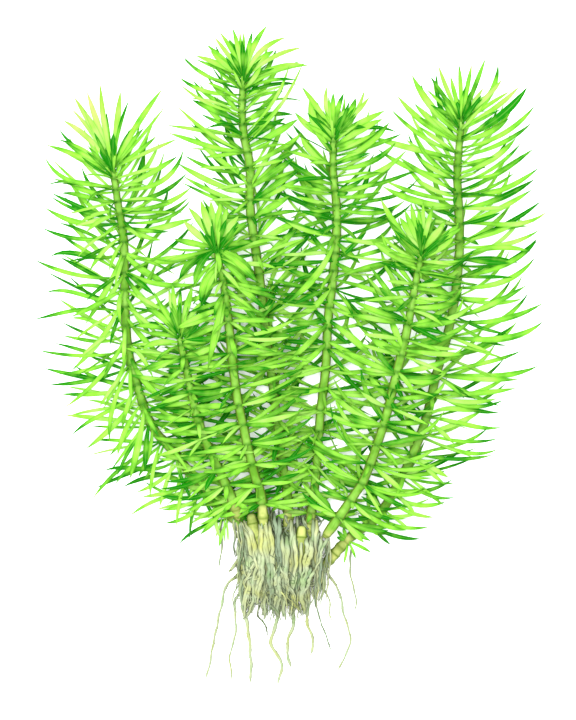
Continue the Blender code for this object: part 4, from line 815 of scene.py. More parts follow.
# The stout roots of the knot: each one's radius, tone, height at its top and at its end, and route.
KNOT_ROOTS = [
    (0.9, 0.3, 7.5, 4.5, [(-12.4, -44.5), (-11.9, -48.0), (-12.4, -52.0), (-12.2, -56.0),
        (-11.6, -59.5)]),
    (0.6, 0.6, 9.0, 7.0, [(-12.0, -42.0), (-12.9, -46.0), (-12.4, -49.0), (-13.0, -52.5),
        (-12.6, -55.5)]),
    (0.8, 0.55, 9.5, 3.0, [(-11.0, -42.5), (-10.5, -47.0), (-10.8, -52.5), (-11.9, -56.0),
        (-12.3, -60.0), (-11.9, -63.5)]),
    (1.0, 0.1, 12.0, 1.2, [(-11.9, -40.5), (-10.3, -44.0), (-9.3, -48.0), (-9.3, -51.0),
        (-10.1, -55.0), (-10.8, -58.5), (-11.6, -62.0), (-11.4, -65.5)]),
    (0.9, 0.3, 12.5, 1.5, [(-8.0, -45.0), (-7.9, -50.0), (-8.6, -54.0), (-9.0, -58.0),
        (-9.6, -61.5), (-10.6, -64.5)]),
    (0.9, 0.15, 14.0, 5.0, [(-7.0, -46.5), (-7.1, -50.5), (-7.5, -54.5), (-8.1, -58.0),
        (-8.9, -61.0)]),
    (1.1, 0.0, 15.2, 1.2, [(-7.2, -40.8), (-6.5, -44.5), (-6.5, -47.5), (-6.0, -51.0),
        (-6.1, -55.0), (-6.8, -59.0), (-6.9, -62.0), (-6.6, -65.5)]),
    (1.05, 0.05, 15.6, 8.0, [(-5.6, -40.5), (-5.0, -46.0), (-4.9, -50.0), (-4.2, -54.0),
        (-3.6, -58.5)]),
    (0.8, 0.6, 14.0, 2.5, [(-5.2, -50.0), (-4.9, -54.0), (-4.8, -57.0), (-4.6, -60.5),
        (-4.7, -63.5)]),
    (0.9, 0.5, 14.5, 11.0, [(-3.3, -38.5), (-3.2, -42.0), (-3.0, -46.0), (-2.8, -50.0),
        (-3.0, -55.0)]),
    (0.95, 0.2, 12.5, 1.5, [(-3.2, -52.0), (-2.9, -57.0), (-3.2, -60.5), (-3.4, -64.5)]),
    (0.95, 0.15, 15.8, 2.0, [(-1.5, -43.0), (-1.1, -49.0), (-1.4, -53.5), (-1.1, -57.5),
        (-1.7, -61.0), (-1.4, -65.0)]),
    (1.0, 0.1, 16.0, 3.5, [(0.6, -41.0), (0.8, -46.0), (1.0, -50.5), (0.5, -55.0), (0.1, -59.0),
        (0.2, -63.5)]),
    (0.9, 0.35, 14.8, 3.5, [(2.2, -43.5), (2.2, -47.0), (2.4, -51.0), (2.6, -55.5), (1.8, -59.0),
        (2.0, -63.0)]),
    (1.1, 0.05, 15.0, 11.0, [(4.9, -45.0), (4.5, -49.0), (3.9, -52.0), (3.2, -55.5)]),
    (1.1, 0.1, 11.5, 2.2, [(4.2, -52.0), (3.4, -57.0), (3.5, -60.0), (3.9, -63.5)]),
    (0.9, 0.2, 14.0, 3.0, [(6.1, -41.0), (6.1, -47.0), (6.0, -51.0), (6.7, -55.0), (7.0, -58.0),
        (6.3, -61.5)]),
    (0.7, 0.55, 14.6, 6.5, [(8.9, -43.6), (7.7, -46.5), (7.3, -50.0), (7.4, -54.0), (7.2, -57.5)]),
    (0.6, 0.35, 14.9, 8.0, [(9.3, -44.6), (8.4, -46.5), (7.6, -49.0), (6.6, -52.0), (6.0, -55.5)]),
    (0.7, 0.4, 13.0, 6.0, [(5.6, -51.5), (4.6, -54.5), (3.4, -57.5), (2.8, -60.0)]),
    (0.6, 0.3, 13.5, 5.0, [(-8.9, -49.0), (-7.6, -53.0), (-6.2, -57.0), (-5.9, -61.0)]),
    (0.6, 0.2, 13.5, 4.5, [(-2.4, -50.5), (-0.9, -55.0), (0.9, -59.0), (1.4, -62.5)]),
]

# The strands that run down through the knot, by kind: how many, the least and greatest radius,
# start and shortfall of their ends, how far they spread, stray and sway and how often, how near
# they come to the top of the knot, and the tone of the shallow ones and of the deep ones, which carries
# painted shade.
STRAND_KINDS = {}
STRAND_KINDS["knot_top_roots"] = {
    "count": 90, "radius": (0.18, 0.42), "start": (-43.0, -36.8), "short": (12.0, 21.0),
    "spread": 0.8, "stray": 1.0, "sway": 0.5, "waves": 1.2, "depth": 0.9, "tone": (0.25, 0.95),
}
STRAND_KINDS["knot_thick_roots"] = {
    "count": 130, "radius": (0.35, 0.7), "start": (-51.0, -42.0), "short": (-0.5, 8.0),
    "spread": 0.45, "stray": 1.4, "sway": 0.5, "waves": 0.9, "depth": 0.95, "tone": (0.0, 0.55),
}
STRAND_KINDS["knot_thin_roots"] = {
    "count": 90, "radius": (0.14, 0.34), "start": (-59.0, -43.5), "short": (-2.5, 7.0),
    "spread": 1.3, "stray": 4.5, "sway": 1.0, "waves": 1.0, "depth": 1.1, "tone": (0.0, 0.6),
}
STRAND_KINDS["knot_root_hairs"] = {
    "count": 80, "radius": (0.06, 0.12), "start": (-56.0, -41.0), "short": (-4.0, 9.0),
    "spread": 1.5, "stray": 4.5, "sway": 1.0, "waves": 1.5, "depth": 1.14, "tone": (0.75, 1.0),
}
# Where the strands draw together at the lower edge of the knot.
STRAND_ENDS = [
    (-12.6, -56.0), (-12.0, -60.0), (-11.0, -65.0), (-7.2, -60.5), (-6.6, -66.0), (-3.4, -66.0),
    (-0.6, -61.5), (0.6, -66.0), (4.0, -65.5), (6.4, -60.5), (8.0, -57.0),
]

# Each long root's radius where it leaves the knot, its tone and its route.
LONG_ROOTS = [
    (0.36, 0.3, [(-10.0, -53.0), (-13.5, -55.0), (-16.5, -57.5), (-17.3, -62.5), (-19.3, -70.3),
        (-20.0, -76.0), (-21.6, -81.0)]),
    (0.32, 0.3, [(-9.5, -56.5), (-13.3, -60.0), (-13.9, -64.0), (-14.0, -70.3), (-15.3, -76.0),
        (-14.8, -81.6)]),
    (0.5, 0.2, [(-8.5, -58.5), (-11.3, -62.5), (-11.0, -67.5), (-10.0, -73.0), (-10.2, -82.0)]),
    (0.26, 0.85, [(-6.5, -60.5), (-8.2, -64.5), (-6.5, -67.0), (-5.8, -71.3)]),
    (0.5, 0.2, [(-3.0, -61.0), (-3.2, -65.0), (-4.6, -70.8), (-4.3, -73.3), (-2.5, -76.3),
        (-2.3, -79.0), (-3.0, -82.5)]),
    (0.48, 0.25, [(0.2, -61.0), (1.0, -66.0), (-0.4, -70.3), (-0.5, -74.0), (0.2, -78.5)]),
    (0.45, 0.2, [(4.0, -61.0), (4.6, -67.0), (5.8, -71.0), (5.0, -75.0)]),
    (0.26, 0.7, [(6.0, -58.5), (7.0, -64.0), (8.4, -67.5), (10.4, -74.5)]),
    (0.34, 0.3, [(9.0, -53.0), (12.6, -59.5), (14.0, -65.5), (15.2, -70.5), (14.7, -74.0),
        (12.0, -79.0)]),
    (0.26, 0.2, [(7.0, -56.5), (9.8, -60.5), (10.2, -64.0), (10.9, -66.5)]),
    (0.28, 0.4, [(15.6, -47.8), (15.2, -51.5), (15.8, -56.0), (16.6, -60.5), (16.4, -64.5)]),
    (0.28, 0.45, [(-17.2, -40.8), (-17.8, -43.5), (-17.3, -46.5), (-17.8, -53.0)]),
    (0.5, 0.2, [(-11.0, -48.5), (-12.8, -50.6), (-15.6, -54.0)]),
]


def size(name, description, millimetres):
    """A length that a user may change."""
    return FloatProperty(
        name=name, description=description, default=millimetres * MM, unit="LENGTH"
    )


def tint(name, description, *levels):
    """A colour that a user may change."""
    return FloatVectorProperty(
        name=name, description=description, subtype="COLOR", default=levels
    )


class PlantSizes(PropertyGroup):
    """Sizes that a user may change."""

    leaf_width: size("Leaf width", "Widest part of a full-grown leaf", 1.15)
    leaf_thickness: size("Leaf thickness", "Thickness of a leaf along its midrib", 0.2)
    whorl: IntProperty(
        name="Leaves in a whorl", description="Leaves that stand round one joint", default=11
    )
    tip_radius: size("Tip radius", "Radius of a stem under its shoot tip", 0.8)
    stem_radius: size("Stem radius", "Radius of a full-grown stem", 1.15)
    foot_radius: size("Foot radius", "Radius of a stem's swollen foot", 1.4)
    clearance: size("Clearance", "Least height of a leaf's midrib above the table", 0.3)


class PlantColours(PropertyGroup):
    """Colours that a user may change."""

    # Deep leaf is the deep green of old leaves, and also paints the shade on leaves behind the stem and
    # at leaf bases.
    leaf_deep: tint("Deep leaf", "Old leaves and leaf bases", 0.01, 0.225, 0.003)
    leaf_bright: tint("Bright leaf", "Full-grown leaves", 0.275, 0.6, 0.055)
    leaf_young: tint("Young leaf", "Young leaves at the shoot tips", 0.43, 0.66, 0.165)
    stem_green: tint("Stem green", "Stem between its joints", 0.065, 0.185, 0.012)
    joint_brown: tint("Joint brown", "Rings, specks and shaded sides of a stem", 0.06, 0.10, 0.008)
    straw: tint("Straw", "Leafless foot of a stem", 0.25, 0.275, 0.08)
    root_pale: tint("Pale root", "Fresh root", 0.25, 0.28, 0.17)
    root_yellow: tint("Yellow root", "Stout root", 0.25, 0.27, 0.085)
    # Grey root and dark root also paint the shade deep among the knot's strands, and dark root the
    # shade along each root's sides.
    root_grey: tint("Grey root", "Root inside the knot", 0.12, 0.16, 0.10)
    root_dark: tint("Dark root", "Old root hairs", 0.035, 0.04, 0.016)
    table: tint("Table", "Surface that the plant lies on", 0.93, 0.93, 0.93)


def unit(vectors):
    """Vectors scaled to length one."""
    return vectors / np.maximum(np.linalg.norm(vectors, axis=-1, keepdims=True), 1e-12)


def eased(points, steps=8):
    """A smooth route through the points."""
    knots = np.array([points[0], *points, points[-1]], float)
    t = np.arange(steps)[:, None] / steps
    parts = []
    for before, a, b, after in zip(knots, knots[1:], knots[2:], knots[3:]):
        parts.append(0.5 * (
            2 * a + (b - before) * t + (2 * before - 5 * a + 4 * b - after) * t ** 2
            + (3 * a - before - 3 * b + after) * t ** 3
        ))
    return np.vstack([*parts, knots[-1:]])


def lengths_along(route):
    """The distance along a route to each of its points."""
    return np.concatenate([[0.0], np.cumsum(np.linalg.norm(np.diff(route, axis=0), axis=1))])


def place_on(route, distances):
    """Places on a route at distances from its start."""
    lengths = lengths_along(route)
    return np.stack([np.interp(distances, lengths, route[:, i]) for i in range(3)], axis=1)


def sample(route, distances):
    """Places on a route, and its direction there, at distances from its start."""
    reach = HEADING_REACH * MM
    heading = unit(place_on(route, distances + reach) - place_on(route, distances - reach))
    return place_on(route, distances), heading


def joint_distances(total):
    """The distances from the shoot tip of a stem's joints, in metres."""
    distances = []
    distance = 0.0
    step = FIRST_INTERNODE
    while distance + step < total / MM - LEAST_BELOW_JOINT:
        distance += step
        distances.append(distance * MM)
        step = min(LAST_INTERNODE, step + INTERNODE_GROWTH)
    return np.array(distances)


def stem_radii(distances, total, sizes):
    """A stem's radius at distances from its tip, without the swellings at its joints."""
    taper = np.minimum(1.0, distances / (TIP_TAPER_LENGTH * MM))
    radii = sizes.tip_radius + (sizes.stem_radius - sizes.tip_radius) * taper
    foot = np.maximum(0.0, 1.0 - (total - distances) / (FOOT_SWELL_LENGTH * MM))
    return radii + (sizes.foot_radius - radii) * foot


def make_blank(sides, rings, sharp_margins):
    """A straight rod one unit long, cut into rings, with or without two sharp margins."""
    editor = bmesh.new()
    bmesh.ops.create_cone(
        editor, cap_ends=True, cap_tris=False, segments=sides, radius1=1, radius2=1, depth=1
    )
    bmesh.ops.rotate(editor, verts=editor.verts, matrix=Matrix.Rotation(math.pi / 2, 3, "Z"))
    bmesh.ops.translate(editor, verts=editor.verts, vec=(0, 0, 0.5))
    rails = [e for e in editor.edges if abs(e.verts[0].co.z - e.verts[1].co.z) > 0.5]
    for rail in rails:
        rail.smooth = not (sharp_margins and abs(rail.verts[0].co.x) > 0.9)
    bmesh.ops.subdivide_edges(editor, edges=rails, cuts=rings - 2)
    for face in editor.faces:
        face.smooth = True
    blank = bpy.data.meshes.new("blank")
    editor.to_mesh(blank)
    editor.free()
    return blank


def store(mesh, name, values):
    """Keep one number a point on a mesh, for its material."""
    attribute = mesh.attributes.new(name, "FLOAT", "POINT")
    attribute.data.foreach_set("value", np.ascontiguousarray(values, np.float32).ravel())


def bend_blanks(name, spines, frames, sizes, sides, marks, fold=0.0, sharp_margins=False):
    """One mesh of many rods, each laid along its own spine.

    spines holds a place for each rod and ring, frames the directions across and above it, and
    sizes its half width and half depth. marks holds numbers for the material, one for each rod
    or one for each ring of it.
    """
    count, rings = spines.shape[:2]
    across, upward = frames
    half_width, half_depth = sizes
    blank = make_blank(sides, rings, sharp_margins)
    shape = np.zeros(len(blank.vertices) * 3)
    blank.vertices.foreach_get("co", shape)
    shape = shape.reshape(-1, 3)
    ring = np.rint(shape[:, 2] * (rings - 1)).astype(int)
    editor = bmesh.new()
    for _ in range(count):
        editor.from_mesh(blank)
    mesh = bpy.data.meshes.new(name)
    editor.to_mesh(mesh)
    editor.free()
    bpy.data.meshes.remove(blank)
    wide = shape[None, :, 0] * half_width[:, ring]
    deep = shape[None, :, 1] * half_depth[:, ring] + np.abs(wide) * fold
    places = spines[:, ring] + wide[..., None] * across[:, ring] + deep[..., None] * upward[:, ring]
    places[..., 2] = np.maximum(places[..., 2], LEAST_HEIGHT)
    mesh.vertices.foreach_set("co", places.ravel())
    store(mesh, "along", np.broadcast_to(shape[None, :, 2], wide.shape))
    store(mesh, "across", np.broadcast_to(shape[None, :, 0], wide.shape))
    for key, values in marks.items():
        values = np.asarray(values, float)
        spread = values[:, ring] if values.ndim == 2 else values[:, None]
        store(mesh, key, np.broadcast_to(spread, wide.shape))
    mesh.update()
    return mesh


def add_piece(name, mesh, material, replaced):
    """Put a finished mesh in the scene, in the place of the CAD nodes that it stands for."""
    mesh.materials.append(material)
    piece = bpy.data.objects.new(name, mesh)
    bpy.context.scene.collection.objects.link(piece)
    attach(piece, BODY)
    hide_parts(*replaced)


def square_to(headings):
    """Directions across and above a set of headings."""
    across = unit(np.cross(headings, UP + OFF_UPRIGHT))
    return across, np.cross(across, headings)


def blade_frames(spines, axis, roll):
    """Directions across and above each blade, which faces up and a little towards its shoot tip."""
    heading = unit(np.gradient(spines, axis=1))
    facing = LEAF_FACING * axis[:, None] + UP
    side = unit(np.cross(heading, facing))
    over = np.cross(side, heading)
    turn = roll[:, None, None] * np.linspace(BASE_ROLL, 1.0, spines.shape[1])[None, :, None]
    across = side * np.cos(turn) + over * np.sin(turn)
    return across, over * np.cos(turn) - side * np.sin(turn)


def blade_sizes(rings, width, thickness):
    """Half the width and thickness of each leaf at each ring: a strap drawn out to a point."""
    s = np.linspace(0, 1, rings)
    filled = np.sin(np.minimum(s / FILLED_OUT, 1) * math.pi / 2) ** FILLING_POWER
    point = 1 - np.maximum((s - DRAWN_IN) / (1 - DRAWN_IN), 0) ** DRAWING_POWER
    outline = np.maximum((BASE_WIDTH + (1 - BASE_WIDTH) * filled) * point, LEAST_WIDTH)
    half_width = width[:, None] * outline[None, :] / 2
    half_depth = thickness / 2 * np.linspace(BASE_THICKNESS, TIP_THICKNESS, rings)
    return half_width, np.broadcast_to(half_depth, half_width.shape)


def leaf_mesh(name, spines, axis, roll, width, thickness, marks):
    """One mesh of folded, pointed blades."""
    frames = blade_frames(spines, axis, roll)
    sizes = blade_sizes(spines.shape[1], width, thickness)
    return bend_blanks(
        name, spines, frames, sizes, LEAF_SIDES, marks, fold=LEAF_FOLD, sharp_margins=True
    )


def grow_leaves(bases, outward, axis, lift, arch, length, sag, sway, clearance):
    """The spines of many leaves.

    A leaf starts at its base, lift above outward and towards axis, and turns by arch on its way.
    Its own weight bends it down by sag, and it lies along the table where it reaches it, with a
    soft knee.
    """
    sideways = np.cross(axis, outward)
    stride = (length / LEAF_STEPS)[:, None]
    places = [bases]
    for step in range(LEAF_STEPS):
        s = (step + 0.5) / LEAF_STEPS
        angle = (lift + arch * s ** ARCH_POWER)[:, None]
        heading = outward * np.cos(angle) + axis * np.sin(angle) + sideways * (sway * s)[:, None]
        heading[:, 2] -= sag * s
        heading = unit(heading)
        room = (clearance - places[-1][:, 2]) / stride[:, 0]
        rise = np.clip(np.maximum(heading[:, 2], room), -1, 1)
        level = unit(heading[:, :2]) * np.sqrt(1 - rise ** 2)[:, None]
        places.append(places[-1] + np.column_stack([level, rise]) * stride)
    spines = np.stack(places, 1)
    for _ in range(KNEE_PASSES):
        heights = spines[..., 2]
        spines[:, 1:-1, 2] = (heights[:, :-2] + 2 * heights[:, 1:-1] + heights[:, 2:]) / 4
    return spines


def habit_at(rows, share):
    """A stem's habit at shares of the way down its leafy stretch."""
    table = np.array(rows, float)
    return [np.interp(share, table[:, 0], table[:, i]) for i in range(1, table.shape[1])]


def whorl_directions(axis, parting, count, chance):
    """The way out of every leaf of every whorl, and how far it is in front of its stem."""
    side = unit(np.cross(axis, UP))
    front = np.cross(side, axis)
    turns = np.arange(count) / count * TURN
    angles = turns[None, :] + (np.arange(len(axis)) % 2 * math.pi / count)[:, None]
    jitter = chance.uniform(-TURN_JITTER, TURN_JITTER, angles.shape)
    angles = angles + jitter + chance.uniform(0, STEM_TURN)
    frontness = np.sin(angles)
    to_side = np.cos(angles) * (1 + parting)
    to_front = frontness * np.where(frontness < 0, BACK_REACH, FRONT_REACH)
    outward = unit(to_side[..., None] * side[:, None] + to_front[..., None] * front[:, None])
    return outward, frontness


def leaf_habits(rows, share, outward, frontness, chance):
    """The lift and arch, in radians, and the length of every leaf."""
    left_lift, left_arch, right_lift, right_arch, front_lift, front_arch, length = habit_at(
        rows, share
    )
    rightness = 0.5 + 0.5 * np.clip(outward[..., 0] * SIDE_CONTRAST, -1, 1)
    to_viewer = np.clip(frontness, 0, 1) ** VIEWER_POWER
    lift = left_lift + (right_lift - left_lift) * rightness
    arch = left_arch + (right_arch - left_arch) * rightness
    lift = lift + (front_lift - lift) * to_viewer + BACK_LIFT * np.clip(-frontness, 0, 1)
    arch = arch + (front_arch - arch) * to_viewer
    lift = np.radians(lift + chance.normal(0, LIFT_SPREAD, share.shape))
    arch = np.radians(arch + chance.normal(0, ARCH_SPREAD, share.shape))
    length = length * MM * (1 + chance.normal(0, LENGTH_SPREAD, share.shape))
    length = length * (1 - FRONT_SHORTENING * to_viewer)
    low = np.clip((share - LOW_FROM) / (1 - LOW_FROM), 0, 1)
    length = length * (1 - (LOW_SHORTENING + LOW_FRONT_SHORTENING * to_viewer) * low)
    return lift, arch, length, to_viewer


def leaf_tones(share, frontness, chance):
    """How pale every leaf is: some deep ones, most of them low, or behind the stem as painted shade,
    and some pale ones.
    """
    dice = chance.uniform(0, 1, share.shape)
    behind = np.clip(-frontness, 0, 1)
    # Leaves behind the stem are made deep more often, as painted shade.
    deep_below = DEEP_SHARE + PAINTED_SHADE_BEHIND * behind + MORE_DEEP_BELOW * share
    tone = chance.normal(MIDDLE_TONE, TONE_SPREAD, share.shape)
    tone = np.where(dice < deep_below, chance.uniform(*DEEP_TONES, share.shape), tone)
    return np.where(dice > PALE_ABOVE, chance.uniform(*PALE_TONES, share.shape), tone)


def whorl_leaves(name, stem, sizes, chance):
    """All the leaves that stand round the joints of one stem."""
    route = eased(stem["route"]) * MM
    total = lengths_along(route)[-1]
    joints = joint_distances(total)
    joints = joints[joints < total - stem["bare"] * MM]
    places, downward = sample(route, joints)
    axis = -downward
    outward, frontness = whorl_directions(axis, stem["parting"], sizes.whorl, chance)
    share = np.broadcast_to((joints / joints[-1])[:, None], frontness.shape)
    read = (joints < stem["traced"] * MM)[:, None]
    grown = ~read | (frontness < BEHIND) | (frontness > IN_FRONT)
    share, frontness, outward = share[grown], frontness[grown], outward[grown]
    joint = np.nonzero(grown)[0]
    shape = share.shape
    lift, arch, length, to_viewer = leaf_habits(stem["habit"], share, outward, frontness, chance)
    sag = np.where(outward[..., 2] > STEEP, STEEP_SAG, SAG) + chance.uniform(0, SAG_SPREAD, shape)
    sway = chance.normal(0, SWAY_SPREAD, shape)
    roll = chance.normal(0, ROLL_SPREAD, shape)
    width = sizes.leaf_width * (1 - TOP_NARROWING + TOP_NARROWING * np.clip(share * 4, 0, 1))
    width = width * np.clip(1 + chance.normal(0, WIDTH_SPREAD, shape), *WIDTH_LIMITS)
    tone = leaf_tones(share, frontness, chance)
    radii = stem_radii(joints, total, sizes)
    bases = places[joint] + outward * (radii[joint] * BASE_DEPTH)[:, None]
    axes = axis[joint]
    spines = grow_leaves(
        bases, outward, axes, lift, arch, length, sag, sway, sizes.clearance
    )
    traced = np.array(stem["sides"]).reshape(-1, 8)
    more, more_axes = side_spines(traced, route, total, sizes, chance)
    base = chance.uniform(*BASE_SHADES, len(tone) + len(traced))
    # Leaves that point at the viewer get the deepest painted shade at their bases.
    base[:len(tone)] = np.maximum(base[:len(tone)], to_viewer)
    marks = {"tone": np.append(tone, traced[:, 7]), "base": base}
    return leaf_mesh(
        name, np.concatenate([spines, more]), np.concatenate([axes, more_axes]),
        np.append(roll, chance.normal(0, READ_ROLL_SPREAD, len(traced))),
        np.append(width, traced[:, 6] * READ_WIDTH * MM), sizes.leaf_thickness, marks,
    )


def bowed_leaves(starts, ends, near_bow, far_bow):
    """Spines from starts to ends, bowed to the left of their way near the base and the tip."""
    chord = ends - starts
    left = unit(np.stack([-chord[:, 1], chord[:, 0], np.zeros(len(chord))], axis=1))
    s = np.linspace(0, 1, LEAF_STEPS + 1)[None, :]
    offset = 3 * s * (1 - s) * ((1 - s) * near_bow[:, None] + s * far_bow[:, None])
    spines = starts[:, None] + chord[:, None] * s[..., None] + left[:, None] * offset[..., None]
    spines[..., 2] += BOWED_RISE * s * (1 - s) * np.linalg.norm(chord, axis=1)[:, None]
    return spines


def side_spines(rows, route, total, sizes, chance):
    """The spines of the leaves whose two ends are given, and the way their stem points there."""
    fine = np.linspace(0, total, ROUTE_SAMPLES)
    places, downward = sample(route, fine)
    starts = rows[:, :2] * MM
    gap = np.linalg.norm(places[None, :, :2] - starts[:, None], axis=2)
    nearest = gap.argmin(axis=1)
    starts += HUG_STEM * (places[nearest, :2] - starts)
    radii = stem_radii(fine[nearest], total, sizes)
    over = np.sqrt(np.maximum(0.0, 1 - ((1 - HUG_STEM) * gap.min(axis=1) / radii) ** 2))
    height = places[nearest, 2] + BASE_DEPTH * radii * over
    length = np.linalg.norm(rows[:, 2:4] - rows[:, :2], axis=1) * MM
    rise = RISE_WITH_TONE * (rows[:, 7] - LEVEL_TONE) + chance.normal(0, RISE_SPREAD, len(rows))
    rise = rise * length
    starts = np.column_stack([starts, height])
    tips = rows[:, :2] + (rows[:, 2:4] - rows[:, :2]) * FINE_TIP
    ends = np.column_stack([tips * MM, np.maximum(height + rise, sizes.clearance)])
    return bowed_leaves(starts, ends, rows[:, 4] * MM, rows[:, 5] * MM), -downward[nearest]


def crown_heart(chance):
    """Crown rows for the small leaves at the heart of a shoot tip."""
    turn = chance.uniform(-HEART_TURN, HEART_TURN, CROWN_HEART)
    reach = chance.uniform(*HEART_REACHES, CROWN_HEART)
    bow = chance.normal(0, HEART_BOW_SPREAD, CROWN_HEART)
    width = chance.uniform(*HEART_WIDTHS, CROWN_HEART)
    tone = chance.uniform(*HEART_TONES, CROWN_HEART)
    depth = chance.uniform(*HEART_DEPTHS, CROWN_HEART)
    return np.column_stack([reach * np.sin(turn), reach * np.cos(turn), bow, width, tone, depth])


def crown_leaves(name, stem, sizes, chance):
    """The young leaves that stand in a tuft at the tip of one stem."""
    route = eased(stem["route"]) * MM
    rows = np.vstack([stem["crown"], crown_heart(chance)])
    count = len(rows)
    place, downward = sample(route, rows[:, 5] * MM)
    length = np.linalg.norm(rows[:, :2], axis=1) * MM
    tone = rows[:, 4]
    rise = np.where(tone < DARK_BELOW, DARK_RISE, chance.uniform(*CROWN_RISES, count)) * length
    ends = route[0] + np.column_stack([rows[:, :2] * FINE_TIP * MM, rise])
    ends[:, 2] = np.maximum(ends[:, 2], sizes.clearance)
    starts = place + unit(ends - place) * CROWN_START * MM + UP * CROWN_START * MM
    # A bow that is the same near base and tip stands out by three quarters of it.
    bow = rows[:, 2] * MM / 0.75
    spines = bowed_leaves(starts, ends, bow, bow)
    roll = chance.normal(0, READ_ROLL_SPREAD, count)
    width = rows[:, 3] * CROWN_WIDTH * MM
    marks = {"tone": tone, "base": chance.uniform(*YOUNG_BASE_SHADES, count)}
    return leaf_mesh(name, spines, -downward, roll, width, sizes.leaf_thickness, marks)


def rod_mesh(name, places, radii, marks):
    """One stem along a row of places."""
    frames = tuple(part[None] for part in square_to(unit(np.gradient(places, axis=0))))
    marks = {key: np.asarray(values)[None] for key, values in marks.items()}
    return bend_blanks(name, places[None], frames, (radii[None], radii[None]), STEM_SIDES, marks)


def near(distances, centres, width):
    """How close each distance is to a centre: one on it, falling to nothing beyond width."""
    gap = np.abs(distances[:, None] - np.asarray(centres)[None, :]).min(axis=1)
    return np.exp(-(gap / (width * MM)) ** 2)


def round_off(radii, start, end):
    """Draw in a rod's first and last rings."""
    radii[:len(start)] *= start
    radii[len(radii) - len(end):] *= end
    return radii


def stem_mesh(name, stem, sizes):
    """One stem, ringed and slightly swollen at each joint."""
    route = eased(stem["route"]) * MM
    total = lengths_along(route)[-1]
    distances = np.linspace(0, total, int(total / (STEM_STEP * MM)))
    pale = stem["pale"] * MM
    joints = joint_distances(total)
    scars = total - np.arange(FIRST_SCAR * MM, pale, SCAR_SPACING * MM)
    joints = np.append(joints[joints < total - pale], scars)
    swelling = 1 + JOINT_SWELLING * near(distances, joints, JOINT_SWELLING_WIDTH)
    radii = stem_radii(distances, total, sizes) * swelling
    radii = round_off(radii, STEM_TOP_ROUNDING, STEM_FOOT_ROUNDING)
    foot = np.clip(1 - (total - distances - pale) / (PALE_FADE * MM), 0, 1)
    on_joint = (1 - foot) * near(distances, joints, JOINT_MARK_WIDTH)
    joint = np.maximum(near(distances, joints, SCAR_MARK_WIDTH), on_joint)
    return rod_mesh(name, place_on(route, distances), radii, {"joint": joint, "foot": foot})


def foot_mesh(name, points, sizes):
    """One bare foot of a stem that has died back."""
    route = eased(points) * MM
    total = lengths_along(route)[-1]
    distances = np.linspace(0, total, OLD_FOOT_RINGS)
    joints = np.array(OLD_FOOT_JOINTS) * total
    bulge = 1 - OLD_FOOT_BULGE + OLD_FOOT_BULGE * np.sin(distances / total * math.pi)
    swelling = 1 + OLD_JOINT_SWELLING * near(distances, joints, OLD_JOINT_SWELLING_WIDTH)
    radii = sizes.foot_radius * bulge * swelling
    radii = round_off(radii, OLD_FOOT_TOP_ROUNDING, OLD_FOOT_END_ROUNDING)
    joint = near(distances, joints, OLD_JOINT_MARK_WIDTH)
    marks = {"joint": joint, "foot": np.ones(len(distances))}
    return rod_mesh(name, place_on(route, distances), radii, marks)


def knot_edges(y):
    """The knot's left and right edge and its thickness at each y."""
    rows = np.array(KNOT[::-1])
    return [np.interp(y, rows[:, 0], rows[:, i]) for i in (1, 2, 3)]


def knot_place(x, y, v):
    """A place in the knot of roots: x and y on the table, and v from the table to its top."""
    low, high, thick = knot_edges(y)
    u = np.clip((x - (low + high) / 2) / ((high - low) / 2), -1, 1)
    z = v * thick * np.sqrt(np.maximum(KNOT_EDGE, 1 - KNOT_ROUNDNESS * u ** 2))
    return np.stack([x, y, z], axis=-1) * MM


def waves(parts, phase, share):
    """The sum of a few waves along a root."""
    return sum(height * np.sin(phase * often + rate * share) for height, often, rate in parts)


def root_radii(radius, share, thinning, power, neck, filling, tip):
    """A root's radius along it: it fills out from its neck and thins towards its tip."""
    radii = radius * (1 - thinning * share ** power) * np.minimum(1, neck + filling * share)
    radii[:, -1] *= tip
    return radii


def root_mesh(name, spines, radii, tone, flatness=1.0):
    """One mesh of many roots, each round or a little flattened."""
    frames = square_to(unit(np.gradient(spines, axis=1)))
    sizes = (radii, radii * flatness)
    return bend_blanks(name, spines, frames, sizes, ROOT_SIDES, {"tone": tone})


def knot_root_mesh(name, chance):
    """The stout roots that run down over the knot, each a bundle of fibres."""
    share = np.linspace(0, 1, STOUT_ROOT_RINGS)
    radius, tone, top, end = (
        np.repeat([row[i] for row in KNOT_ROOTS], FIBRES_IN_ROOT) for i in range(4)
    )
    routes = []
    for *_, points in KNOT_ROOTS:
        route = eased([(x, y, 0.0) for x, y in points])
        routes.append(place_on(route, share * lengths_along(route)[-1]))
    spines = np.repeat(routes, FIBRES_IN_ROOT, axis=0)
    count = len(spines)
    place = np.tile(np.linspace(-0.5, 0.5, FIBRES_IN_ROOT), len(KNOT_ROOTS))
    phase = chance.uniform(0, WAVE_TURN, (count, 1))
    aside = (place * radius)[:, None] * (1 - 0.5 * share)
    spines[..., 0] += aside + waves(STOUT_WANDER, phase, share)
    spines[..., 1] += chance.uniform(-STOUT_SHIFT, STOUT_SHIFT, (count, 1))
    climb = np.sin(np.minimum(share / STOUT_CLIMBED, 1) * math.pi / 2)
    risen = 1 - STOUT_DIP + STOUT_DIP * climb
    height = top[:, None] * risen + (end - top)[:, None] * share ** 1.5
    height += chance.uniform(-STOUT_HEIGHT_SPREAD, STOUT_HEIGHT_SPREAD, (count, 1))
    spines[..., 2] = np.maximum(height, LEAST_STOUT_HEIGHT)
    lumps = 1 + waves(STOUT_LUMPS, phase, share)
    fibre = FIBRE_RADIUS * radius[:, None] * lumps * chance.uniform(*FIBRE_SIZES, (count, 1))
    radii = root_radii(fibre, share, *STOUT_TAPER)
    tone = np.clip(tone + chance.normal(0, STOUT_TONE_SPREAD, count), 0, DARKEST_STOUT_TONE)
    return root_mesh(name, spines * MM, radii * MM, tone, STOUT_ROOT_FLATNESS)


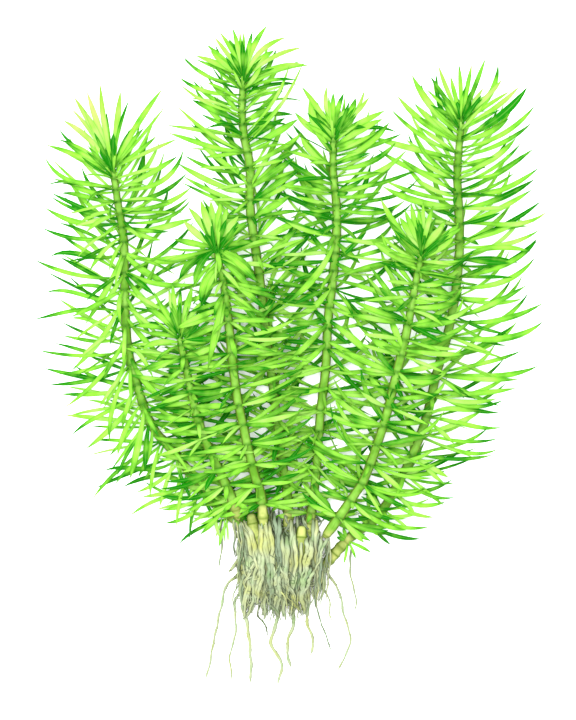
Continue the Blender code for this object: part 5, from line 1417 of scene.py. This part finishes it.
def foot_root_mesh(name, chance):
    """The roots that leave the feet of the stems and run down over the knot."""
    feet = [stem["route"][-1] for stem in STEMS.values()] + [points[-1] for points in OLD_FEET]
    feet = np.repeat(feet, ROOTS_AT_FOOT, axis=0)
    foot_x, foot_y, foot_z = (feet[:, i:i + 1] for i in range(3))
    count = len(feet)
    t = np.linspace(0, 1, ROOT_RINGS)[None, :]
    turn = chance.uniform(0.0, math.pi, (count, 1))
    across, above = FOOT_ROOT_OFFSET * np.cos(turn), FOOT_ROOT_OFFSET * np.sin(turn)
    start_y = foot_y + chance.uniform(*FOOT_ROOT_STARTS, (count, 1))
    end_y = np.maximum(foot_y - chance.uniform(*FOOT_ROOT_DROPS, (count, 1)), LOWEST_FOOT_ROOT)
    end_x = foot_x * FOOT_ROOT_DRAWN_IN + FOOT_ROOT_SPREAD * across
    end_x = end_x + chance.normal(0, FOOT_ROOT_STRAY, (count, 1))
    phase = chance.uniform(0, WAVE_TURN, (count, 1))
    rate = chance.uniform(*FOOT_ROOT_WAVES, (count, 1))
    sway = FOOT_ROOT_SWAY * np.sin(phase + rate * t) * np.minimum(1, 3 * t)
    x = foot_x + across + (end_x - foot_x - across) * t + sway
    y = start_y + (end_y - start_y) * t
    low = knot_place(end_x, end_y, chance.uniform(*FOOT_ROOT_LEVELS, (count, 1)))[..., 2] / MM
    z = foot_z + above + (low - foot_z - above) * t ** FOOT_ROOT_SINKING
    spines = np.stack([x, y, np.maximum(z, LEAST_ROOT_HEIGHT)], axis=-1) * MM
    radii = root_radii(chance.uniform(*FOOT_ROOT_RADII, (count, 1)) * MM, t, *FOOT_ROOT_TAPER)
    return root_mesh(name, spines, radii, chance.uniform(*FOOT_ROOT_TONES, count))


def knot_strands(name, kind, chance):
    """Many roots that run down through the knot and draw together towards its lower edge."""
    count = kind["count"]
    t = np.linspace(0, 1, ROOT_RINGS)[None, :]
    drawn = np.minimum(t / STRANDS_DRAWN, 1)
    draw = drawn * drawn * (3 - 2 * drawn)
    start_y = chance.uniform(*kind["start"], (count, 1))
    low, high, _ = knot_edges(start_y)
    start_x = low + (high - low) * chance.uniform(*STRAND_SIDES, (count, 1))
    ends = np.array(STRAND_ENDS)
    nearest = np.abs(ends[None, :, 0] - start_x - chance.normal(0, kind["stray"], (count, 1)))
    goal = ends[nearest.argmin(axis=1)]
    end_x = goal[:, :1] + chance.normal(0, kind["spread"], (count, 1))
    end_y = goal[:, 1:] + chance.uniform(*kind["short"], (count, 1))
    phase = chance.uniform(0, WAVE_TURN, (count, 1))
    rate = chance.uniform(*STRAND_WAVES, (count, 1)) * kind["waves"]
    set_in = np.sin(np.minimum(t * 2, 1) * QUARTER_TURN)
    x_sway = kind["sway"] * np.sin(phase + rate * WAVE_TURN * t) * set_in
    y_sway = kind["sway"] * SWAY_ALONG * np.sin(phase * 2 + rate * SWAY_ALONG_RATE * t)
    x = start_x + (end_x - start_x) * draw + x_sway
    y = start_y + (end_y - start_y) * t + y_sway
    depth = np.sqrt(chance.uniform(DEEPEST_STRAND, 1, (count, 1)))
    first, gain, by = STRAND_RISE
    risen = first + gain * np.minimum(t / by, 1)
    v = depth * kind["depth"] * risen * (1 - STRAND_FALL * t ** 2)
    spines = knot_place(x, y, np.clip(v, *STRAND_LEVELS))
    radius = chance.uniform(*kind["radius"], (count, 1)) * MM
    lumps = 1 + STRAND_LUMPS * np.sin(phase + STRAND_LUMP_RATE * t * rate)
    radii = root_radii(radius * lumps, t, *STRAND_TAPER)
    spines[..., 2] = np.maximum(spines[..., 2], radii)
    pale, dark = kind["tone"]
    # Strands deeper in the knot are painted darker, as shade.
    darkness = PAINTED_SHADE_FROM_DEPTH * (1 - depth[:, 0]) + TONE_FROM_CHANCE * chance.uniform(0, 1, count)
    return root_mesh(name, spines, radii, pale + (dark - pale) * darkness)


def side_roots(places, heading, across, rings, count, chance):
    """The spines and radii of the fine roots that leave a long root on both sides."""
    first, last = (int(rings * stretch) for stretch in SIDE_ROOT_STRETCH)
    starts = chance.integers(first, last, count)
    turn = np.radians(chance.uniform(*SIDE_ROOT_TURNS, count)) * chance.choice([-1, 1], count)
    reach = chance.uniform(*SIDE_ROOT_REACHES, count) * MM
    t = np.linspace(0, 1, rings)[None, :, None]
    aside = across[starts]
    way = unit(heading[starts] * np.cos(turn)[:, None] + aside * np.sin(turn)[:, None])
    curl = np.sin(3 * t + chance.uniform(0, WAVE_TURN, (count, 1, 1))) * aside[:, None]
    steps = (way[:, None] + SIDE_ROOT_CURL * curl) * t * reach[:, None, None]
    radii = SIDE_ROOT_RADIUS * MM * (1 - SIDE_ROOT_THINNING * t[..., 0])
    return places[starts][:, None] + steps, np.broadcast_to(radii, (count, rings))


def long_root_mesh(name, radius, tone, points, chance):
    """One long root that trails along the table, with a few fine side roots."""
    route = eased([(x, y, 0.0) for x, y in points]) * MM
    total = lengths_along(route)[-1]
    rings = max(LONG_ROOT_LEAST_RINGS, int(total / (LONG_ROOT_STEP * MM)))
    distances = np.linspace(0, total, rings)
    share = distances / total
    phase = chance.uniform(0, WAVE_TURN)
    places, heading = sample(route, distances)
    across, _ = square_to(heading)
    kink = np.sin(phase + distances / (WIDE_KINK * MM))
    kink = kink + 0.5 * np.sin(phase * 3 + distances / (TIGHT_KINK * MM))
    places = places + across * (KINK_SIZE * MM * kink * np.minimum(1, share * 4))[:, None]
    lumps = 1 + LUMP_SIZE * np.sin(phase + distances / (LUMP_LENGTH * MM))
    main = radius * MM * LONG_ROOT_STOUTNESS * (1 - LONG_ROOT_THINNING * share) * lumps
    main = round_off(main, LONG_ROOT_TOP_ROUNDING, LONG_ROOT_END_ROUNDING)
    count = 2 + int(total / (SIDE_ROOT_SPACING * MM))
    hairs, hair_radii = side_roots(places, heading, across, rings, count, chance)
    spines = np.concatenate([places[None], hairs])
    radii = np.concatenate([main[None], hair_radii])
    spines[..., 2] = np.maximum(radii, LEAST_TRAILING_HEIGHT * MM)
    tones = np.clip(tone + chance.uniform(0, SIDE_ROOT_DARKENING, count), 0, 1)
    return root_mesh(name, spines, radii, np.append(tone, tones))


def new_material(name):
    """A node material with its shader."""
    material = bpy.data.materials.new(name)
    material.use_nodes = True
    return material, material.node_tree, material.node_tree.nodes["Principled BSDF"]


def node(tree, kind, **settings):
    """A node with its settings."""
    made = tree.nodes.new(kind)
    for key, value in settings.items():
        setattr(made, key, value)
    return made


def feed(tree, socket, value):
    """Link a socket to another, or give it a number or a colour."""
    if isinstance(value, bpy.types.NodeSocket):
        tree.links.new(value, socket)
    elif isinstance(value, (int, float)):
        socket.default_value = value
    else:
        socket.default_value = (*value, 1.0)


def attribute(tree, name):
    """The value that a mesh stores under a name."""
    return node(tree, "ShaderNodeAttribute", attribute_name=name).outputs["Fac"]


def sums(tree, operation, *values, clamp=False):
    """One step of arithmetic on values or sockets."""
    made = node(tree, "ShaderNodeMath", operation=operation, use_clamp=clamp)
    for socket, value in zip(made.inputs, values):
        feed(tree, socket, value)
    return made.outputs[0]


def times(tree, value, factor, clamp=False):
    """A value multiplied."""
    return sums(tree, "MULTIPLY", value, factor, clamp=clamp)


def line(tree, value, slope, start):
    """A value times slope plus start."""
    return sums(tree, "MULTIPLY_ADD", value, slope, start)


def ramp(tree, value, slope, start):
    """A value times slope plus start, held between nothing and one."""
    return sums(tree, "MULTIPLY_ADD", value, slope, start, clamp=True)


def mix(tree, share, first, second):
    """Two colours or sockets, mixed by a value or socket."""
    made = node(tree, "ShaderNodeMix", data_type="RGBA")
    feed(tree, made.inputs["Factor"], share)
    feed(tree, made.inputs[6], first)
    feed(tree, made.inputs[7], second)
    return made.outputs[2]


def noise(tree, place, detail=2.0, scale=5.0):
    """A soft random pattern."""
    made = node(tree, "ShaderNodeTexNoise")
    made.inputs["Detail"].default_value = detail
    feed(tree, made.inputs["Scale"], scale)
    feed(tree, made.inputs["Vector"], place)
    return made.outputs[0]


def fibre_group():
    """Long streaks that run with a piece, and soft blotches across it."""
    group = bpy.data.node_groups.new("fibre streaks", "ShaderNodeTree")
    face = group.interface
    for name in ("Along", "Across", "Length Scale", "Blotch Scale"):
        face.new_socket(name=name, in_out="INPUT", socket_type="NodeSocketFloat")
    for name in ("Streaks", "Blotches"):
        face.new_socket(name=name, in_out="OUTPUT", socket_type="NodeSocketFloat")
    start = group.nodes.new("NodeGroupInput").outputs
    end = group.nodes.new("NodeGroupOutput").inputs
    place = node(group, "ShaderNodeTexCoord").outputs["Object"]
    spot = node(group, "ShaderNodeSeparateXYZ")
    feed(group, spot.inputs[0], place)
    grain = node(group, "ShaderNodeCombineXYZ")
    feed(group, grain.inputs[0], times(group, start["Along"], start["Length Scale"]))
    feed(group, grain.inputs[1], start["Across"])
    # A wide step in X gives each leaf and root a grain of its own.
    feed(group, grain.inputs[2], times(group, spot.outputs["X"], 300.0))
    feed(group, end["Streaks"], noise(group, grain.outputs[0], detail=3.0, scale=2.6))
    feed(group, end["Blotches"], noise(group, place, scale=start["Blotch Scale"]))
    return group


def add_fibres(tree, group, length_scale, blotch_scale):
    """Place the streaks in a material with its own scales."""
    made = node(tree, "ShaderNodeGroup", node_tree=group)
    feed(tree, made.inputs["Along"], attribute(tree, "along"))
    feed(tree, made.inputs["Across"], attribute(tree, "across"))
    made.inputs["Length Scale"].default_value = length_scale
    made.inputs["Blotch Scale"].default_value = blotch_scale
    return made.outputs["Streaks"], made.outputs["Blotches"]


def finish(tree, shader, colour, roughness, height, depth):
    """Feed a shader its colour, its roughness and a raised pattern."""
    bump = node(tree, "ShaderNodeBump")
    bump.inputs["Distance"].default_value = depth * MM
    bump.inputs["Strength"].default_value = 0.5
    feed(tree, bump.inputs["Height"], height)
    feed(tree, shader.inputs["Normal"], bump.outputs["Normal"])
    feed(tree, shader.inputs["Base Color"], colour)
    feed(tree, shader.inputs["Roughness"], roughness)
    shader.inputs["Specular IOR Level"].default_value = 0.04


def let_light_through(tree, shader, colour, share):
    """Mix a shader with light that comes through the leaf from behind."""
    through = node(tree, "ShaderNodeBsdfTranslucent")
    feed(tree, through.inputs["Color"], colour)
    both = node(tree, "ShaderNodeMixShader")
    both.inputs[0].default_value = share
    feed(tree, both.inputs[1], shader.outputs[0])
    feed(tree, both.inputs[2], through.outputs[0])
    feed(tree, tree.nodes["Material Output"].inputs["Surface"], both.outputs[0])


def edge_tone(tree):
    """One along a piece's two sides, falling to nothing at its middle."""
    return ramp(tree, sums(tree, "ABSOLUTE", attribute(tree, "across")), 2.6, -1.6)


def leaf_material(colours, group):
    """Soft green blade with a pale midrib, deeper towards its base with painted shade, and deeper
    towards its tip and its margins.
    """
    material, tree, shader = new_material("thin green blade")
    streaks, blotches = add_fibres(tree, group, 1.2, 170.0)
    along = attribute(tree, "along")
    tone = sums(tree, "ADD", attribute(tree, "tone"), line(tree, blotches, 1.5, -0.75))
    # Painted shade deepens each leaf towards its base.
    painted_base_shade = times(tree, ramp(tree, along, -3.2, 1.0), attribute(tree, "base"))
    near_tip = times(tree, ramp(tree, along, 2.5, -1.5), 0.7)
    dulled = sums(tree, "ADD", painted_base_shade, near_tip)
    tone = sums(tree, "ADD", tone, times(tree, dulled, -0.5))
    # The lower half of the tones runs from deep to bright, and the upper half on to young.
    colour = mix(tree, times(tree, tone, 2.0, clamp=True), colours.leaf_deep, colours.leaf_bright)
    colour = mix(tree, ramp(tree, tone, 2.0, -1.0), colour, colours.leaf_young)
    rib = ramp(tree, sums(tree, "ABSOLUTE", attribute(tree, "across")), -5.0, 1.0)
    colour = mix(tree, times(tree, rib, 0.22), colour, colours.leaf_young)
    colour = mix(tree, times(tree, edge_tone(tree), 0.5), colour, colours.leaf_deep)
    veined = node(tree, "ShaderNodeHueSaturation")
    feed(tree, veined.inputs["Color"], colour)
    feed(tree, veined.inputs["Value"], line(tree, streaks, 0.5, 0.77))
    finish(tree, shader, veined.outputs[0], line(tree, streaks, 0.25, 0.42), streaks, 0.05)
    let_light_through(tree, shader, veined.outputs[0], 0.62)
    return material


def stem_material(colours, group):
    """Green stem with dark rings at its joints, straw coloured at the foot, with painted shade along
    its sides.
    """
    material, tree, shader = new_material("jointed green stem")
    streaks, blotches = add_fibres(tree, group, 6.0, 330.0)
    foot = attribute(tree, "foot")
    dull = mix(tree, 0.35, colours.stem_green, colours.joint_brown)
    colour = mix(tree, ramp(tree, streaks, 3.0, -1.0), dull, colours.stem_green)
    pale = ramp(tree, blotches, 2.0, -0.8)
    colour = mix(tree, times(tree, pale, 0.22), colour, colours.leaf_young)
    moss = mix(tree, 0.7, colours.leaf_deep, colours.joint_brown)
    mossy = ramp(tree, blotches, -7.0, 3.2)
    colour = mix(tree, times(tree, mossy, 0.6), colour, moss)
    olive = mix(tree, 0.4, colours.straw, colours.joint_brown)
    colour = mix(tree, times(tree, foot, 0.85), colour, olive)
    worn = ramp(tree, blotches, 6.0, -2.75)
    colour = mix(tree, times(tree, worn, foot), colour, colours.straw)
    specks = ramp(tree, streaks, 5.0, -3.0)
    colour = mix(tree, times(tree, specks, 0.7), colour, colours.joint_brown)
    # Painted shade darkens the stem along its round sides.
    shade = times(tree, edge_tone(tree), 1.3, clamp=True)
    colour = mix(tree, shade, colour, colours.joint_brown)
    bark = tuple(0.25 * (a + b) for a, b in zip(colours.leaf_deep, colours.joint_brown))
    ring = times(tree, attribute(tree, "joint"), line(tree, foot, 0.1, 0.9))
    colour = mix(tree, ring, colour, mix(tree, foot, bark, colours.joint_brown))
    finish(tree, shader, colour, line(tree, streaks, 0.3, 0.38), streaks, 0.1)
    return material


def root_material(colours, group):
    """Pale fibrous root, yellow where it is stout, greyer and darker with age and with painted shade
    deep in the knot, and with painted shade along its sides.
    """
    material, tree, shader = new_material("fibrous root")
    streaks, blotches = add_fibres(tree, group, 5.0, 190.0)
    tone = attribute(tree, "tone")
    yellow = ramp(tree, blotches, 4.0, -1.6)
    colour = mix(tree, yellow, colours.root_pale, colours.root_yellow)
    # A root's tone is its own colour, and for the strands of the knot also painted shade from their
    # depth.
    colour = mix(tree, times(tree, tone, 1.6, clamp=True), colour, colours.root_grey)
    age_and_shade = ramp(tree, tone, 3.0, -2.0)
    colour = mix(tree, age_and_shade, colour, colours.root_dark)
    mossy = ramp(tree, blotches, -7.0, 3.0)
    colour = mix(tree, times(tree, mossy, 0.3), colour, colours.stem_green)
    lines = ramp(tree, streaks, 5.0, -2.6)
    colour = mix(tree, times(tree, lines, 0.55), colour, colours.root_dark)
    # Painted shade darkens each root along its round sides.
    colour = mix(tree, times(tree, edge_tone(tree), 0.85), colour, colours.root_dark)
    finish(tree, shader, colour, line(tree, streaks, 0.3, 0.5), streaks, 0.12)
    return material


def table_material(colours):
    """Pale smooth board with the faintest mottle."""
    material, tree, shader = new_material("pale board")
    place = node(tree, "ShaderNodeTexCoord").outputs["Object"]
    darker = tuple(c * 0.985 for c in colours.table)
    mottled = mix(tree, noise(tree, place, scale=30.0), darker, colours.table)
    feed(tree, shader.inputs["Base Color"], mottled)
    shader.inputs["Roughness"].default_value = 0.7
    shader.inputs["Specular IOR Level"].default_value = 0.2
    return material


def once(kept, name, make, *arguments):
    """A material or node group, made the first time that it is asked for."""
    return kept.get(name) or make(*arguments)


def fibres():
    """The streaks that every finish shares."""
    return once(bpy.data.node_groups, "fibre streaks", fibre_group)


def blade_finish(colours):
    """The finish of every leaf."""
    return once(bpy.data.materials, "thin green blade", leaf_material, colours, fibres())


class PLANT_OT_stems(Operator):
    """Grow the jointed stems with their pale feet"""

    bl_idname = "plant.stems"
    bl_label = "Stems"

    def execute(self, context):
        sizes = context.scene.plant_sizes
        material = stem_material(context.scene.plant_colours, fibres())
        for name, stem in STEMS.items():
            mesh = stem_mesh(f"jointed_stem_{name}", stem, sizes)
            add_piece(mesh.name, mesh, material, [f"stem_{name}"])
        for number, points in enumerate(OLD_FEET, 1):
            mesh = foot_mesh(f"bare_foot_{number}", points, sizes)
            add_piece(mesh.name, mesh, material, [f"old_foot_{number}"])
        return {"FINISHED"}


class PLANT_OT_whorls(Operator):
    """Grow the whorls of leaves along every stem"""

    bl_idname = "plant.whorls"
    bl_label = "Leaf whorls"

    def execute(self, context):
        material = blade_finish(context.scene.plant_colours)
        for number, (name, stem) in enumerate(STEMS.items()):
            chance = np.random.default_rng(WHORL_SEED + number)
            mesh = whorl_leaves(f"whorls_{name}", stem, context.scene.plant_sizes, chance)
            add_piece(mesh.name, mesh, material, [f"leaves_{name}"])
        return {"FINISHED"}


class PLANT_OT_crowns(Operator):
    """Grow the tuft of young leaves at every shoot tip"""

    bl_idname = "plant.crowns"
    bl_label = "Shoot tips"

    def execute(self, context):
        material = blade_finish(context.scene.plant_colours)
        for number, (name, stem) in enumerate(STEMS.items()):
            chance = np.random.default_rng(CROWN_SEED + number)
            mesh = crown_leaves(f"crown_{name}", stem, context.scene.plant_sizes, chance)
            add_piece(mesh.name, mesh, material, [f"shoot_tip_{name}"])
        return {"FINISHED"}


class PLANT_OT_roots(Operator):
    """Grow the knot of roots and the long roots that trail from it"""

    bl_idname = "plant.roots"
    bl_label = "Roots"

    def execute(self, context):
        material = root_material(context.scene.plant_colours, fibres())
        chance = np.random.default_rng(ROOT_SEED)
        meshes = [
            knot_root_mesh("knot_stout_roots", chance),
            foot_root_mesh("knot_foot_roots", chance),
        ]
        meshes += [knot_strands(name, kind, chance) for name, kind in STRAND_KINDS.items()]
        for mesh in meshes:
            add_piece(mesh.name, mesh, material, ["root_tangle"])
        for number, (radius, tone, points) in enumerate(LONG_ROOTS, 1):
            mesh = long_root_mesh(f"trailing_root_{number:02d}", radius, tone, points, chance)
            add_piece(mesh.name, mesh, material, [f"long_root_{number:02d}"])
        return {"FINISHED"}


class PLANT_OT_stage(Operator):
    """Set the table, the soft light and the camera that looks straight down"""

    bl_idname = "plant.stage"
    bl_label = "Table, light and camera"

    def execute(self, context):
        scene = context.scene
        editor = bmesh.new()
        bmesh.ops.create_grid(editor, x_segments=1, y_segments=1, size=TABLE_SIZE)
        mesh = bpy.data.meshes.new("table")
        editor.to_mesh(mesh)
        editor.free()
        mesh.materials.append(table_material(scene.plant_colours))
        table = bpy.data.objects.new("table", mesh)
        scene.collection.objects.link(table)

        world = bpy.data.worlds.new("soft light")
        world.use_nodes = True
        sky = world.node_tree.nodes["Background"]
        sky.inputs["Color"].default_value = (1.0, 1.0, 1.0, 1.0)
        sky.inputs["Strength"].default_value = SKY_STRENGTH
        scene.world = world

        for name, size, power, place, tilt in SOFT_BOXES:
            lamp = bpy.data.lights.new(name, "AREA")
            lamp.shape = "DISK"
            lamp.size = size
            lamp.energy = power
            box = bpy.data.objects.new(name, lamp)
            box.location = place
            box.rotation_euler = [math.radians(angle) for angle in tilt]
            scene.collection.objects.link(box)

        lens = bpy.data.cameras.new("view from above")
        lens.lens = LENS
        lens.sensor_width = SENSOR
        lens.clip_start = NEAREST_SEEN
        camera = bpy.data.objects.new("view from above", lens)
        height = PICTURE_HEIGHT * LENS / SENSOR + MIDDLE_OF_PLANT
        camera.location = (CAMERA_SHIFT, 0.0, height)
        scene.collection.objects.link(camera)
        scene.camera = camera
        scene.view_settings.view_transform = "Standard"
        return {"FINISHED"}


class PLANT_PT_panel(Panel):
    """Sizes, colours and steps for the plant"""

    bl_label = "Pogostemon clump"
    bl_idname = "PLANT_PT_panel"
    bl_space_type = "VIEW_3D"
    bl_region_type = "UI"
    bl_category = "Plant"

    def draw(self, context):
        layout = self.layout
        for settings in (context.scene.plant_sizes, context.scene.plant_colours):
            for key in settings.__annotations__:
                layout.prop(settings, key)
        for step in STEPS:
            layout.operator(step.bl_idname)


STEPS = (PLANT_OT_stems, PLANT_OT_whorls, PLANT_OT_crowns, PLANT_OT_roots, PLANT_OT_stage)
CLASSES = (PlantSizes, PlantColours, *STEPS, PLANT_PT_panel)


def register():
    for kind in CLASSES:
        bpy.utils.register_class(kind)
    bpy.types.Scene.plant_sizes = PointerProperty(type=PlantSizes)
    bpy.types.Scene.plant_colours = PointerProperty(type=PlantColours)


def unregister():
    del bpy.types.Scene.plant_colours
    del bpy.types.Scene.plant_sizes
    for kind in reversed(CLASSES):
        bpy.utils.unregister_class(kind)


def main():
    register()
    bpy.ops.plant.stems()
    bpy.ops.plant.whorls()
    bpy.ops.plant.crowns()
    bpy.ops.plant.roots()
    bpy.ops.plant.stage()
    bpy.context.view_layer.update()
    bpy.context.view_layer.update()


if __name__ == "__main__":
    main()
